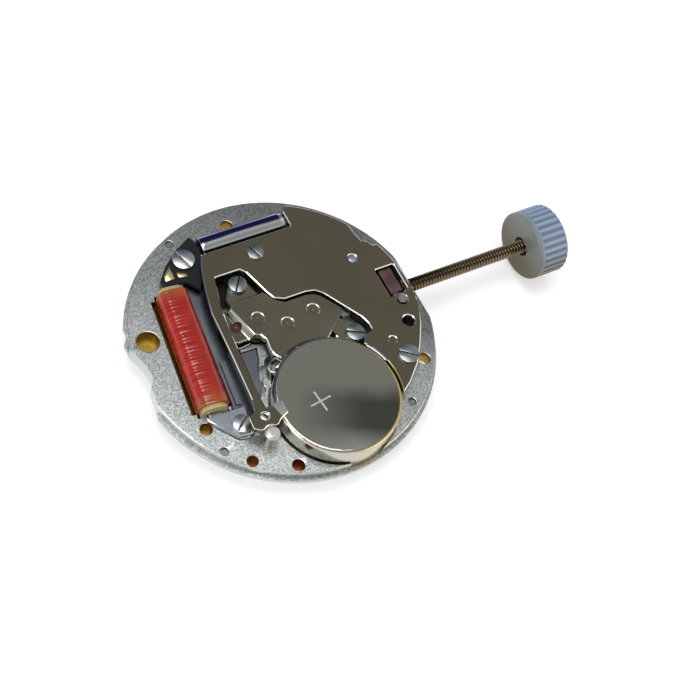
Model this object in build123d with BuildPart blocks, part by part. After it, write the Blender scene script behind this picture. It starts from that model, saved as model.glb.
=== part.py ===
"""Quartz watch movement, battery side up, with its winding stem and a transport crown.

The origin is on the hands' axis at the dial seat. +Z points to the battery side and +X along
the stem to the crown. All sizes are in millimetres.
"""
import os
from math import atan2, cos, degrees, hypot, radians, sin, sqrt, tan

from build123d import *

os.makedirs("parts", exist_ok=True)

# Main plate: the plan of the movement is laid out in shares of its radius
plate_radius = 9.65
plate_radius_share = 0.965
plan_length = plate_radius / plate_radius_share
flange_width = 0.22
flange_thickness = 0.30
plate_top = 1.00
plate_edge_chamfer = 0.06
stem_flat_depth = 0.35
pocket_floor = 0.60
recess_floor = 0.45
cell_floor = 0.25
stator_floor = 0.70
running_gap = 0.02
side_gap = 0.06
cut_over = 0.50
corner_reach_share = 0.40
least_turn = 12.0

# Holes in the plate
large_hole_radius = 0.70
foot_hole_radius = 0.40
small_hole_radius = 0.375
dimple_radius = 0.25
dimple_depth = 0.20
blind_hole_floor = 0.15

# Button cell
cell_radius = 3.95
cell_height = 2.10
cell_to_centre_share = 0.175
cell_clearance = 0.10
cell_bridge_gap = 0.16
cell_wall = 0.18
cell_corner = 0.22
cell_cap_share = 0.81
gasket_wall = 0.30
insulator_thickness = 0.05

# Bridge, cover and spacer
bridge_low = 1.50
bridge_top = 1.95
lug_top = 1.55
rotor_lug_low = 1.45
rotor_lug_top = 1.70
bend_width = 0.42
right_bend_width = 0.20
oil_sink_radius = 0.38
oil_sink_depth = 0.05
cover_low = 1.90
cover_thickness = 0.20
cover_rim_inset = 0.97
cover_corner = 0.12
spacer_inset = 0.14
cell_cover_gap = 0.26

# Going train
arbor_radius = 0.08
pivot_radius = 0.06
seconds_arbor_radius = 0.10
wheel_thickness = 0.08
pinion_height = 0.18
third_wheel_low = 0.66
seconds_wheel_low = 0.90
intermediate_wheel_low = 1.22
rotor_magnet_low = 0.66
rotor_magnet_height = 0.44
rotor_magnet_radius = 0.55
rotor_hub_radius = 0.20
jewel_radius = 0.34
crossing_hole_share = 0.24
crossing_circle_share = 0.56

# Motion works, below the plate floor
driving_wheel_low = 0.345
driving_wheel_thickness = 0.07
cannon_teeth_low = 0.225
cannon_teeth_height = 0.09
hour_wheel_low = 0.14
motion_wheel_thickness = 0.07
minute_axis_share = 0.196
minute_axis_angle = 66.0
centre_tube_bore = 0.125
centre_tube_radius = 0.205
cannon_bore = 0.225
cannon_radius = 0.35
minute_seat_radius = 0.33
hour_pipe_bore = 0.375
hour_pipe_radius = 0.60
centre_tube_drop = 1.10
hour_pipe_drop = 0.75
cannon_drop = 1.15
minute_seat_length = 0.38
seconds_drop = 1.55
motion_post_radius = 0.14
dial_bridge_low = 0.02
dial_bridge_thickness = 0.10

# Teeth
tip_height_share = 1.00
root_depth_share = 1.20
root_half_share = 0.32
tip_half_share = 0.12
rotor_teeth = 10
intermediate_teeth = 60
intermediate_pinion_teeth = 10
seconds_teeth = 50
seconds_pinion_teeth = 8
third_teeth = 80
third_pinion_teeth = 10
driving_teeth = 60
cannon_teeth = 12
minute_teeth = 36
minute_pinion_teeth = 10
hour_teeth = 40
setting_teeth = 12
idler_teeth = 26

# Coil, core and stator
coil_width = 2.00
coil_height = 1.90
coil_low = 0.25
coil_corner = 0.62
coil_slot_gap = 0.30
coil_slot_floor = 0.10
cheek_thickness = 0.30
cheek_inset = 0.16
core_low = 1.05
core_thickness = 0.30
core_half_width = 0.42
core_gap = 0.05
stator_thickness = 0.35
stator_rotor_hole = 0.78
stator_lobe = 1.12
stator_end_radius = 0.80
stator_end_gap = 0.36
stator_rib_width = 0.16
stator_rib_height = 0.14
terminal_board_thickness = 0.25
contact_tab_thickness = 0.06

# Quartz crystal
crystal_radius = 0.70
crystal_length_share = 0.56
crystal_top = 2.10
crystal_nose = 0.18
crystal_base_length = 0.26
crystal_base_radius = 0.62
lead_radius = 0.09
lead_spread = 0.40
lead_length = 0.90
crystal_groove_gap = 0.08

# Circuit
board_low = 1.72
board_thickness = 0.14
chip_length = 1.80
chip_width = 1.50
chip_height = 0.34

# Stem and crown
stem_height = 1.10
stem_pilot_radius = 0.20
stem_square = 0.50
stem_radius = 0.40
stem_thread_radius = 0.45
stem_groove_radius = 0.22
stem_groove_width = 0.36
stem_start_share = 0.36
square_start_share = 0.44
square_end_share = 0.675
groove_share = 0.765
thread_start_share = 0.90
thread_length = 8.96
crown_length = 2.20
crown_radius = 2.30
crown_flute_radius = 0.15
crown_flutes = 30
crown_lip = 0.34
crown_round = 0.16
crown_recess_radius = 0.66
crown_recess_depth = 0.70
crown_bore_depth = 1.30

# Keyless works
clutch_radius = 0.72
clutch_start_share = 0.51
clutch_length_share = 0.14
clutch_groove_radius = 0.45
clutch_groove_start_share = 0.585
clutch_groove_width = 0.44
clutch_teeth = 12
clutch_tooth_depth = 0.16
lever_low = 1.56
lever_thickness = 0.12
lever_eye_radius = 0.42
lever_arm_half = 0.22
lever_nose_radius = 0.12
lever_pin_radius = 0.16
lever_pin_head_radius = 0.28
lever_pin_top = 2.15
yoke_eye_radius = 0.40
yoke_tip_half = 0.10
yoke_tip_share = 0.62
jumper_thickness = 0.10
jumper_gap = 0.04
pilot_block_width = 1.40
pilot_block_roof = 0.30
keyless_cavity_floor = 1.50

# Contacts, clamp and pins
contact_thickness = 0.08
contact_leaf_thickness = 0.04
contact_leaf_width = 1.10
contact_top = 1.75
positive_contact_low = 1.20
positive_contact_top = 2.22
positive_contact_from = 14.0
positive_contact_to = 36.0
clamp_thickness = 0.10
clamp_distance = 0.907
clamp_angle = 176.9
contact_distance = 0.086
contact_angle = 127.3
clamp_corner = 0.12
clamp_post_base_radius = 0.44
clamp_post_mid_radius = 0.32
clamp_post_top_radius = 0.25
clamp_post_bore = 0.14
clamp_pin_radius = 0.24
clamp_pin_head_radius = 0.47
clamp_pin_head_height = 0.24
locating_pin_radius = 0.28

# Screws
screw_head_height = 0.24
screw_shank_radius = 0.28
screw_slot_width = 0.10
screw_slot_depth = 0.09
coil_top_screw_radius = 0.70
coil_foot_screw_radius = 0.60
bridge_screw_radius = 0.58
cover_small_screw_radius = 0.52
cover_large_screw_radius = 0.66
dial_screw_radius = 0.42
dial_screw_shank = 0.20
dial_screw_head_height = 0.08
flat_head_height = 0.12
coil_top_slot_angle = -68.0
coil_foot_slot_angle = 40.0
bridge_left_slot_angle = 55.0
bridge_right_slot_angle = -28.0
cover_small_slot_angle = -72.0
cover_large_slot_angle = -40.0

# Places, as shares of the plan length
rotor_place_share = (-0.305, 0.095)
intermediate_place_share = (-0.158, 0.098)
third_place_share = (0.195, 0.030)
cell_direction_share = (0.0045, -0.0566)
large_hole_share = (-0.820, 0.230)
foot_hole_shares = ((-0.002, 0.826), (0.740, -0.500))
small_hole_shares = ((-0.747, -0.429), (-0.585, -0.720), (-0.342, -0.847))
dimple_shares = ((-0.710, -0.600), (0.515, -0.735), (-0.405, 0.825), (-0.320, -0.310))
coil_top_share = (-0.563, 0.460)
coil_foot_share = (-0.660, -0.335)
coil_top_screw_share = (-0.400, 0.648)
coil_foot_screw_share = (-0.550, -0.495)
bridge_screw_shares = ((-0.160, 0.368), (0.380, -0.203))
cover_small_screw_share = (0.032, 0.522)
cover_large_screw_share = (0.603, -0.478)
crystal_start_share = (-0.260, 0.705)
setting_wheel_share = (0.435, 0.0)
lever_pivot_share = (0.765, -0.115)
yoke_pivot_share = (0.560, -0.240)
clamp_pin_offset_share = (-0.005, -0.110)
locating_pin_share = (0.605, 0.270)
cover_dark_hole_share = (0.725, -0.265)
cover_dimple_share = (0.560, -0.350)
chip_share = (0.450, 0.420)
dial_screw_shares = ((0.140, 0.430), (0.520, 0.140))

# Outlines, as shares of the plan length
rim_notch_shares = (
    (-1.30, 0.50), (-0.90, 0.40), (-0.90, 0.35), (-0.94, 0.30), (-0.94, 0.22), (-0.90, 0.09),
    (-0.89, 0.00), (-0.93, -0.06), (-0.94, -0.16), (-0.96, -0.25), (-1.30, -0.35),
)
cover_shares = (
    (-0.295, 0.625), (0.342, 0.625), (0.342, 0.745), (0.370, 0.785), (0.600, 1.100),
    (1.100, 0.600), (1.100, -0.120), (0.850, -0.175), (0.795, -0.305), (0.715, -0.435),
    (0.630, -0.550), (0.520, -0.650), (0.430, -0.708), (0.340, -0.600), (0.360, -0.330),
    (0.415, -0.250), (0.472, -0.240), (0.472, -0.190), (0.455, -0.135), (0.390, -0.030),
    (0.305, 0.105), (0.265, 0.142), (0.205, 0.155), (0.055, 0.155), (-0.005, 0.185),
    (-0.030, 0.240), (-0.085, 0.410), (-0.115, 0.445), (-0.285, 0.445), (-0.340, 0.240),
    (-0.365, 0.050), (-0.375, -0.100), (-0.395, -0.400),
)
cover_strip_end_shares = ((0.045, -0.055), (-0.066, -0.055))
cover_strip_shares = (
    (-0.450, -0.400), (-0.430, -0.100), (-0.415, 0.220), (-0.375, 0.410), (-0.330, 0.550),
)
cover_bite_shares = (
    (0.700, 0.520), (0.710, 0.430), (0.725, 0.370), (0.760, 0.350), (0.780, 0.315),
    (0.900, 0.300), (0.900, 0.520),
)
lever_window_shares = ((0.700, -0.075), (0.838, -0.060), (0.838, 0.140), (0.700, 0.140))
bridge_shares = (
    (-0.288, 0.210), (-0.270, 0.255), (-0.045, 0.255), (-0.020, 0.225), (0.008, 0.175),
    (0.055, 0.144), (0.200, 0.144), (0.255, 0.130), (0.292, 0.098), (0.372, -0.020),
    (0.370, -0.042), (0.235, -0.152), (0.190, -0.185), (-0.140, -0.215), (-0.178, -0.168),
    (-0.184, -0.125), (-0.176, -0.055), (-0.195, -0.015), (-0.230, -0.002),
)
left_lug_shares = (
    (-0.270, 0.250), (-0.060, 0.250), (-0.062, 0.385), (-0.115, 0.425), (-0.200, 0.422),
    (-0.270, 0.310),
)
right_lug_shares = (
    (0.260, -0.110), (0.335, -0.055), (0.440, -0.150), (0.440, -0.255), (0.330, -0.270),
    (0.262, -0.185),
)
rotor_lug_shares = (
    (-0.265, 0.220), (-0.325, 0.220), (-0.385, 0.160), (-0.390, 0.015), (-0.335, -0.004),
    (-0.225, -0.004),
)
stator_shares = (
    (-0.345, 0.600), (-0.350, 0.450), (-0.320, 0.230), (-0.215, 0.165), (-0.200, 0.060),
    (-0.250, -0.012), (-0.330, -0.016), (-0.330, -0.048), (-0.225, -0.050), (-0.250, -0.130),
    (-0.285, -0.190), (-0.300, -0.290), (-0.400, -0.420), (-0.500, -0.560), (-0.615, -0.520),
    (-0.560, -0.400), (-0.535, -0.340), (-0.455, 0.440), (-0.470, 0.600),
)
stator_rib_shares = ((-0.466, -0.060), (-0.500, -0.360))
core_foot_shares = (
    (-0.725, -0.375), (-0.475, -0.385), (-0.490, -0.470), (-0.515, -0.570), (-0.600, -0.560),
    (-0.725, -0.400),
)
core_top_shares = (
    (-0.625, 0.505), (-0.520, 0.490), (-0.400, 0.570), (-0.330, 0.620), (-0.350, 0.715),
    (-0.430, 0.720), (-0.530, 0.620),
)
terminal_board_shares = (
    (-0.290, 0.800), (-0.270, 0.755), (-0.275, 0.630), (-0.330, 0.500), (-0.385, 0.425),
    (-0.440, 0.500), (-0.585, 0.520), (-0.595, 0.560), (-0.520, 0.650), (-0.410, 0.735),
)
contact_tab_shares = (
    ((-0.565, 0.545), (-0.505, 0.545), (-0.500, 0.640), (-0.560, 0.585)),
    ((-0.480, 0.585), (-0.430, 0.560), (-0.420, 0.535), (-0.475, 0.545)),
)
board_shares = (
    (0.075, 0.240), (0.075, 0.440), (0.330, 0.590), (0.390, 0.730), (0.460, 0.690),
    (0.640, 0.500), (0.670, 0.330), (0.640, 0.200), (0.330, 0.190),
)
jumper_shares = ((0.728, -0.045), (0.812, -0.040), (0.818, 0.165), (0.728, 0.165))
keyless_cavity_shares = (
    (0.490, -0.300), (0.640, -0.300), (0.700, -0.170), (0.825, -0.170), (0.950, -0.060),
    (0.950, 0.035), (0.835, 0.035), (0.835, 0.170), (0.480, 0.110),
)
clamp_shares = (
    (-0.095, 0.030), (-0.050, 0.050), (0.075, 0.050), (0.080, 0.060), (0.140, 0.060),
    (0.140, -0.025), (0.080, -0.050), (0.050, -0.075), (-0.060, -0.075), (-0.100, -0.050),
)
negative_contact_shares = (
    (0.000, 0.000), (0.050, 0.030), (0.025, 0.065), (-0.015, 0.050), (-0.045, 0.025),
    (-0.045, -0.010), (-0.010, -0.030),
)
dial_bridge_shares = (
    (0.205, -0.120), (0.440, -0.130), (0.600, 0.000), (0.600, 0.180), (0.420, 0.340),
    (0.220, 0.480), (0.060, 0.480), (-0.120, 0.330), (-0.120, 0.120), (0.000, 0.100),
)


def place(share):
    """A place on the plan, from its shares of the plan length."""
    return (share[0] * plan_length, share[1] * plan_length)


def outline(shares, origin=(0, 0)):
    """The points of an outline, from its shares of the plan length and its origin."""
    return [(origin[0] + place(share)[0], origin[1] + place(share)[1]) for share in shares]


def level(height, at=(0, 0)):
    """A level plane at a height, with its origin over the given place."""
    return Plane((at[0], at[1], height))


def polar(distance, angle):
    """The place at a distance from the centre, at an angle in degrees."""
    return (distance * cos(radians(angle)), distance * sin(radians(angle)))


def bearing(start, end):
    """The distance and the angle in degrees from one place to another."""
    across = (end[0] - start[0], end[1] - start[1])
    return hypot(*across), degrees(atan2(across[1], across[0]))


def disc(radius, low, high, at=(0, 0), mode=Mode.ADD):
    """A round upright solid between two heights."""
    with BuildSketch(level(low, at)) as face:
        Circle(radius)
    extrude(face.sketch, amount=high - low, mode=mode)


def corner_radii(points, corner):
    """A rounding for each corner of an outline, none where the edge hardly turns."""
    radii = []
    for number, point in enumerate(points):
        before, heading = bearing(points[number - 1], point)
        after, turned = bearing(point, points[(number + 1) % len(points)])
        turn = abs((turned - heading + 180) % 360 - 180)
        reach = min(before, after) * corner_reach_share / tan(radians(max(turn, 1) / 2))
        radii.append(min(corner, reach) if turn > least_turn else 0)
    return radii


def slab(points, low, high, corner=0, mode=Mode.ADD):
    """A flat solid of a given outline between two heights."""
    with BuildSketch(level(low)) as face:
        with BuildLine():
            FilletPolyline(*points, radius=corner_radii(points, corner), close=True)
        make_face()
    extrude(face.sketch, amount=high - low, mode=mode)


def band(start, end, half_width, low, high, mode=Mode.ADD):
    """A straight flat bar from one place to another."""
    length, angle = bearing(start, end)
    middle = ((start[0] + end[0]) / 2, (start[1] + end[1]) / 2, low)
    with BuildSketch(Plane(middle, x_dir=(cos(radians(angle)), sin(radians(angle)), 0))) as face:
        Rectangle(length, 2 * half_width)
    extrude(face.sketch, amount=high - low, mode=mode)


def toothed(teeth, module, phase, low, high, at=(0, 0)):
    """A toothed disc with straight-sided teeth, one of them at the angle phase."""
    pitch_radius = teeth * module / 2
    root_radius = pitch_radius - root_depth_share * module
    tip_radius = pitch_radius + tip_height_share * module
    corners = (
        (root_radius, -root_half_share), (tip_radius, -tip_half_share),
        (tip_radius, tip_half_share), (root_radius, root_half_share),
    )
    points = [
        polar(radius, phase + (number + share) * 360 / teeth)
        for number in range(teeth)
        for radius, share in corners
    ]
    with BuildSketch(level(low, at)) as face:
        with BuildLine():
            Polyline(*points, close=True)
        make_face()
    extrude(face.sketch, amount=high - low)


def crossings(pitch_radius, count, low, at):
    """Round openings that lighten a wheel's web."""
    with BuildSketch(level(low, at)) as face:
        with PolarLocations(pitch_radius * crossing_circle_share, count):
            Circle(pitch_radius * crossing_hole_share)
    extrude(face.sketch, amount=wheel_thickness, mode=Mode.SUBTRACT)


def meshing_phase(teeth, phase, angle, other_teeth):
    """The phase of the wheel that meshes with a given wheel in the direction of angle."""
    offset = (phase - angle) % (360 / teeth)
    return angle + 180 - offset * teeth / other_teeth + 180 / other_teeth


def along_x(radius, start, end, mode=Mode.ADD):
    """A round solid about the stem's axis."""
    with BuildSketch(Plane((start, 0, stem_height), x_dir=(0, 1, 0), z_dir=(1, 0, 0))) as face:
        Circle(radius)
    extrude(face.sketch, amount=end - start, mode=mode)


def screw(head_radius, seat, foot, at, slot_angle, head_height, shank_radius):
    """A slotted cheese-head screw standing on its seat."""
    top = seat + head_height
    disc(head_radius, seat, top, at)
    disc(shank_radius, foot, seat, at)
    reach = polar(head_radius + screw_slot_width, slot_angle)
    band(
        (at[0] - reach[0], at[1] - reach[1]), (at[0] + reach[0], at[1] + reach[1]),
        screw_slot_width / 2, top - screw_slot_depth * head_height / screw_head_height,
        top + cut_over, Mode.SUBTRACT,
    )


def save(part, name):
    """Label a finished piece and write it."""
    part.label = name
    export_step(part, f"parts/{name}.step")


# Places and levels worked out from the sizes above
rotor_place = place(rotor_place_share)
intermediate_place = place(intermediate_place_share)
third_place = place(third_place_share)
flange_radius = plate_radius + flange_width
stem_flat_distance = plate_radius - stem_flat_depth
cover_rim_radius = plate_radius - cover_rim_inset
cell_angle = bearing((0, 0), cell_direction_share)[1]
cell_to_centre = cell_to_centre_share * plan_length
cell_place = polar(cell_to_centre + cell_radius, cell_angle)
cell_cap_radius = cell_cap_share * cell_radius
clamp_offset = polar(cell_radius + clamp_distance, clamp_angle)
clamp_post_place = (cell_place[0] + clamp_offset[0], cell_place[1] + clamp_offset[1])
clamp_pin_place = outline([clamp_pin_offset_share], clamp_post_place)[0]
contact_offset = polar(cell_radius + contact_distance, contact_angle)
contact_root = (cell_place[0] + contact_offset[0], cell_place[1] + contact_offset[1])
spring_points = outline(negative_contact_shares, contact_root)
cell_low = cell_floor + insulator_thickness
cell_top = cell_low + cell_height
cover_top = cover_low + cover_thickness
minute_axis_distance = minute_axis_share * plan_length
minute_place = polar(minute_axis_distance, minute_axis_angle)
setting_place = place(setting_wheel_share)
coil_top_place = place(coil_top_share)
coil_foot_place = place(coil_foot_share)
coil_length, coil_angle = bearing(coil_foot_place, coil_top_place)
coil_middle = coil_low + coil_height / 2
core_top = core_low + core_thickness
stator_top = stator_floor + stator_thickness
board_top = board_low + board_thickness
crystal_place = place(crystal_start_share)
crystal_axis = crystal_top - crystal_radius
crystal_length = crystal_length_share * plan_length
crystal_end = crystal_place[0] + crystal_length
lever_pivot = place(lever_pivot_share)
yoke_pivot = place(yoke_pivot_share)
lever_top = lever_low + lever_thickness
stem_start = stem_start_share * plan_length
square_start = square_start_share * plan_length
square_end = square_end_share * plan_length
groove_centre = groove_share * plan_length
thread_start = thread_start_share * plan_length
crown_face = thread_start + thread_length
clutch_start = clutch_start_share * plan_length
clutch_length = clutch_length_share * plan_length
clutch_groove_start = clutch_groove_start_share * plan_length
dial_bridge_top = dial_bridge_low + dial_bridge_thickness

# Modules and phases of the toothed wheels
rotor_distance, rotor_angle = bearing(rotor_place, intermediate_place)
rotor_module = 2 * rotor_distance / (rotor_teeth + intermediate_teeth)
intermediate_phase = meshing_phase(rotor_teeth, rotor_angle, rotor_angle, intermediate_teeth)
seconds_distance, seconds_angle = bearing(intermediate_place, (0, 0))
seconds_module = 2 * seconds_distance / (intermediate_pinion_teeth + seconds_teeth)
seconds_phase = meshing_phase(
    intermediate_pinion_teeth, seconds_angle, seconds_angle, seconds_teeth)
third_distance, third_angle = bearing((0, 0), third_place)
third_module = 2 * third_distance / (seconds_pinion_teeth + third_teeth)
third_phase = meshing_phase(seconds_pinion_teeth, third_angle, third_angle, third_teeth)
driving_module = 2 * third_distance / (third_pinion_teeth + driving_teeth)
driving_phase = meshing_phase(
    third_pinion_teeth, third_angle + 180, third_angle + 180, driving_teeth)
minute_module = 2 * minute_axis_distance / (cannon_teeth + minute_teeth)
minute_phase = meshing_phase(cannon_teeth, minute_axis_angle, minute_axis_angle, minute_teeth)
hour_module = 2 * minute_axis_distance / (minute_pinion_teeth + hour_teeth)
hour_phase = meshing_phase(
    minute_pinion_teeth, minute_axis_angle + 180, minute_axis_angle + 180, hour_teeth)

# The idler stands where it meshes with both the minute wheel and the setting wheel
minute_to_setting, minute_to_setting_angle = bearing(setting_place, minute_place)
idler_to_setting = (idler_teeth + setting_teeth) * minute_module / 2
idler_to_minute = (idler_teeth + minute_teeth) * minute_module / 2
idler_cosine = (idler_to_setting**2 - idler_to_minute**2 + minute_to_setting**2) / (
    2 * idler_to_setting * minute_to_setting)
idler_turn = degrees(atan2(sqrt(max(0, 1 - idler_cosine**2)), idler_cosine))
idler_offset = polar(idler_to_setting, minute_to_setting_angle - idler_turn)
idler_place = (setting_place[0] + idler_offset[0], setting_place[1] + idler_offset[1])
idler_angle = bearing(minute_place, idler_place)[1]
idler_phase = meshing_phase(minute_teeth, minute_phase, idler_angle, idler_teeth)
setting_angle = bearing(idler_place, setting_place)[1]
setting_phase = meshing_phase(idler_teeth, idler_phase, setting_angle, setting_teeth)

hour_tip = (hour_teeth / 2 + tip_height_share) * hour_module
minute_tip = (minute_teeth / 2 + tip_height_share) * minute_module
idler_tip = (idler_teeth / 2 + tip_height_share) * minute_module
setting_tip = (setting_teeth / 2 + tip_height_share) * minute_module
driving_tip = (driving_teeth / 2 + tip_height_share) * driving_module
third_tip = (third_teeth / 2 + tip_height_share) * third_module
seconds_tip = (seconds_teeth / 2 + tip_height_share) * seconds_module
intermediate_tip = (intermediate_teeth / 2 + tip_height_share) * rotor_module
third_pinion_tip = (third_pinion_teeth / 2 + tip_height_share) * driving_module
intermediate_pinion_tip = (intermediate_pinion_teeth / 2 + tip_height_share) * seconds_module

screws = {
    "coil_top": place(coil_top_screw_share),
    "coil_foot": place(coil_foot_screw_share),
    "bridge_left": place(bridge_screw_shares[0]),
    "bridge_right": place(bridge_screw_shares[1]),
    "cover_small": place(cover_small_screw_share),
    "cover_large": place(cover_large_screw_share),
}
locating_pin_place = place(locating_pin_share)


# Main plate: a turned disc with a flange, pocketed from both sides
with BuildPart() as main_plate:
    disc(plate_radius, 0, plate_top)
    chamfer(main_plate.edges().group_by(Axis.Z)[-1], length=plate_edge_chamfer)
    disc(flange_radius, 0, flange_thickness)
    slab(outline(rim_notch_shares), -cut_over, plate_top + cut_over, mode=Mode.SUBTRACT)
    band(
        (stem_flat_distance, 0), (stem_flat_distance + 2 * cut_over, 0), stem_flat_distance,
        -cut_over, plate_top + cut_over, Mode.SUBTRACT,
    )
    for wheel_place, wheel_tip in (
        (rotor_place, stator_rotor_hole), (intermediate_place, intermediate_tip),
        ((0, 0), seconds_tip), (third_place, third_tip),
    ):
        disc(wheel_tip + side_gap, pocket_floor, plate_top + cut_over, wheel_place, Mode.SUBTRACT)
    for stator_end in ("coil_top", "coil_foot"):
        disc(stator_end_radius + side_gap, stator_floor, plate_top + cut_over,
             screws[stator_end], Mode.SUBTRACT)
    with BuildSketch(level(stator_floor)) as stator_pocket:
        with BuildLine():
            Polyline(*outline(stator_shares), close=True)
        make_face()
        offset(amount=side_gap, kind=Kind.INTERSECTION)
    extrude(amount=plate_top, mode=Mode.SUBTRACT)
    disc(stator_lobe + side_gap, stator_floor, plate_top + cut_over, rotor_place, Mode.SUBTRACT)
    slot_half = coil_width / 2 + coil_slot_gap
    band(coil_foot_place, coil_top_place, slot_half, coil_slot_floor, plate_top + cut_over,
         Mode.SUBTRACT)
    band(
        (coil_foot_place[0] - cheek_thickness * cos(radians(coil_angle)),
         coil_foot_place[1] - cheek_thickness * sin(radians(coil_angle))),
        (coil_top_place[0] + cheek_thickness * cos(radians(coil_angle)),
         coil_top_place[1] + cheek_thickness * sin(radians(coil_angle))),
        coil_width / 2, coil_slot_floor, plate_top + cut_over, Mode.SUBTRACT,
    )
    disc(cell_radius + cell_clearance, cell_floor, plate_top + cut_over, cell_place,
         Mode.SUBTRACT)
    slab(
        [(x + dx, y + dy) for x, y, dx, dy in (
            (crystal_place[0], crystal_place[1] - crystal_radius, -side_gap, -crystal_groove_gap),
            (crystal_end + lead_length, crystal_place[1] - crystal_radius, side_gap,
             -crystal_groove_gap),
            (crystal_end + lead_length, crystal_place[1] + crystal_radius, side_gap,
             crystal_groove_gap),
            (crystal_place[0], crystal_place[1] + crystal_radius, -side_gap, crystal_groove_gap),
        )],
        crystal_axis - crystal_radius - running_gap, plate_top + cut_over, mode=Mode.SUBTRACT,
    )
    band(
        (clutch_start - side_gap, 0), (clutch_start + clutch_length + side_gap, 0),
        clutch_radius + side_gap, stem_height - clutch_radius - side_gap, plate_top + cut_over,
        Mode.SUBTRACT,
    )
    for spring_point in spring_points[2:5:2]:
        disc(contact_leaf_width / 2 + running_gap, cell_floor, plate_top + cut_over,
             spring_point, Mode.SUBTRACT)

    # The block that carries the inner end of the stem
    band((stem_start, 0), (square_start - side_gap, 0), pilot_block_width / 2,
         pocket_floor, stem_height + stem_pilot_radius + pilot_block_roof)
    disc(third_tip + side_gap, third_wheel_low - side_gap,
         third_wheel_low + wheel_thickness + side_gap, third_place, Mode.SUBTRACT)
    along_x(stem_pilot_radius + running_gap, stem_start - side_gap, square_start,
            Mode.SUBTRACT)
    along_x(stem_radius + running_gap, square_start - side_gap, plate_radius + cut_over,
            Mode.SUBTRACT)
    along_x(stem_thread_radius + running_gap, thread_start - cut_over,
            flange_radius + cut_over, Mode.SUBTRACT)

    # The dial side: a shallow bed for the small bridge and a deeper one for the wheels
    slab(outline(dial_bridge_shares), -cut_over, dial_bridge_top, mode=Mode.SUBTRACT)
    for wheel_place, wheel_tip in (
        ((0, 0), driving_tip), (minute_place, minute_tip), (idler_place, idler_tip),
        (setting_place, setting_tip), (third_place, third_pinion_tip),
    ):
        disc(wheel_tip + side_gap, -cut_over, recess_floor, wheel_place, Mode.SUBTRACT)
    for post_place in (minute_place, idler_place, setting_place):
        disc(motion_post_radius, dial_bridge_low, recess_floor, post_place)
    disc(centre_tube_radius, -cut_over, plate_top, mode=Mode.SUBTRACT)
    disc(third_pinion_tip + running_gap, -cut_over, plate_top, third_place, Mode.SUBTRACT)
    for pivot_place in (rotor_place, intermediate_place):
        disc(pivot_radius + running_gap, recess_floor + running_gap, plate_top, pivot_place,
             Mode.SUBTRACT)

    # Holes for feet, pins and screws
    disc(large_hole_radius, blind_hole_floor, plate_top + cut_over, place(large_hole_share),
         Mode.SUBTRACT)
    for share in foot_hole_shares:
        disc(foot_hole_radius, -cut_over, plate_top + cut_over, place(share), Mode.SUBTRACT)
    for share in small_hole_shares:
        disc(small_hole_radius, blind_hole_floor, plate_top + cut_over, place(share),
             Mode.SUBTRACT)
    for share in dimple_shares:
        disc(dimple_radius, plate_top - dimple_depth, plate_top + cut_over, place(share),
             Mode.SUBTRACT)
    for screw_place in screws.values():
        disc(screw_shank_radius, dial_bridge_top, plate_top + cut_over, screw_place,
             Mode.SUBTRACT)
    for share in dial_screw_shares:
        disc(dial_screw_shank, -cut_over, pocket_floor, place(share), Mode.SUBTRACT)
    disc(clamp_post_top_radius, recess_floor, plate_top + cut_over, clamp_post_place,
         Mode.SUBTRACT)
    disc(clamp_pin_radius, recess_floor, plate_top + cut_over, clamp_pin_place, Mode.SUBTRACT)
    disc(locating_pin_radius, recess_floor, plate_top + cut_over, locating_pin_place,
         Mode.SUBTRACT)
    disc(lever_pin_radius, recess_floor, plate_top + cut_over, lever_pivot, Mode.SUBTRACT)
    disc(lever_pin_radius, recess_floor, plate_top + cut_over, yoke_pivot, Mode.SUBTRACT)
save(main_plate.part, "main_plate")


def bent_edge(start, end, width, low, high):
    """The sloping bend along a straight edge, on its right-hand side from start to end."""
    length, angle = bearing(start, end)
    run = (cos(radians(angle)), sin(radians(angle)), 0)
    section = Plane((start[0], start[1], 0), x_dir=(run[1], -run[0], 0), z_dir=run)
    with BuildSketch(section) as face:
        with BuildLine():
            rise = 1 if section.y_dir.Z > 0 else -1
            Polyline((-running_gap, rise * low), (width, rise * low),
                     (-running_gap, rise * high), close=True)
        make_face()
    extrude(face.sketch, amount=length)


# Train bridge: the polished bridge over the wheels, with two lower lugs for its screws and a
# third that carries the rotor's jewel
with BuildPart() as train_bridge:
    slab(outline(bridge_shares), bridge_low, bridge_top)
    slab(outline(left_lug_shares), plate_top, lug_top)
    slab(outline(right_lug_shares), plate_top, lug_top)
    slab(outline(rotor_lug_shares), rotor_lug_low, rotor_lug_top)
    bridge_points = outline(bridge_shares)
    bent_edge(bridge_points[0], bridge_points[-1], bend_width, rotor_lug_top - running_gap,
              bridge_top)
    bent_edge(bridge_points[10], bridge_points[11], right_bend_width, lug_top, bridge_top)
    disc(cell_radius + cell_bridge_gap, 0, cell_top, cell_place, Mode.SUBTRACT)
    for pivot_place in (intermediate_place, (0, 0), third_place):
        disc(oil_sink_radius, bridge_top - oil_sink_depth, bridge_top + cut_over, pivot_place,
             Mode.SUBTRACT)
        disc(pivot_radius + running_gap, bridge_low - cut_over, bridge_top, pivot_place,
             Mode.SUBTRACT)
    disc(jewel_radius, rotor_lug_low - cut_over, bridge_top + cut_over, rotor_place,
         Mode.SUBTRACT)
    disc(intermediate_tip + side_gap, plate_top - cut_over, rotor_lug_low - running_gap,
         intermediate_place, Mode.SUBTRACT)
    for name in ("bridge_left", "bridge_right"):
        disc(screw_shank_radius + running_gap, 0, lug_top + cut_over, screws[name],
             Mode.SUBTRACT)
save(train_bridge.part, "train_bridge")

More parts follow.
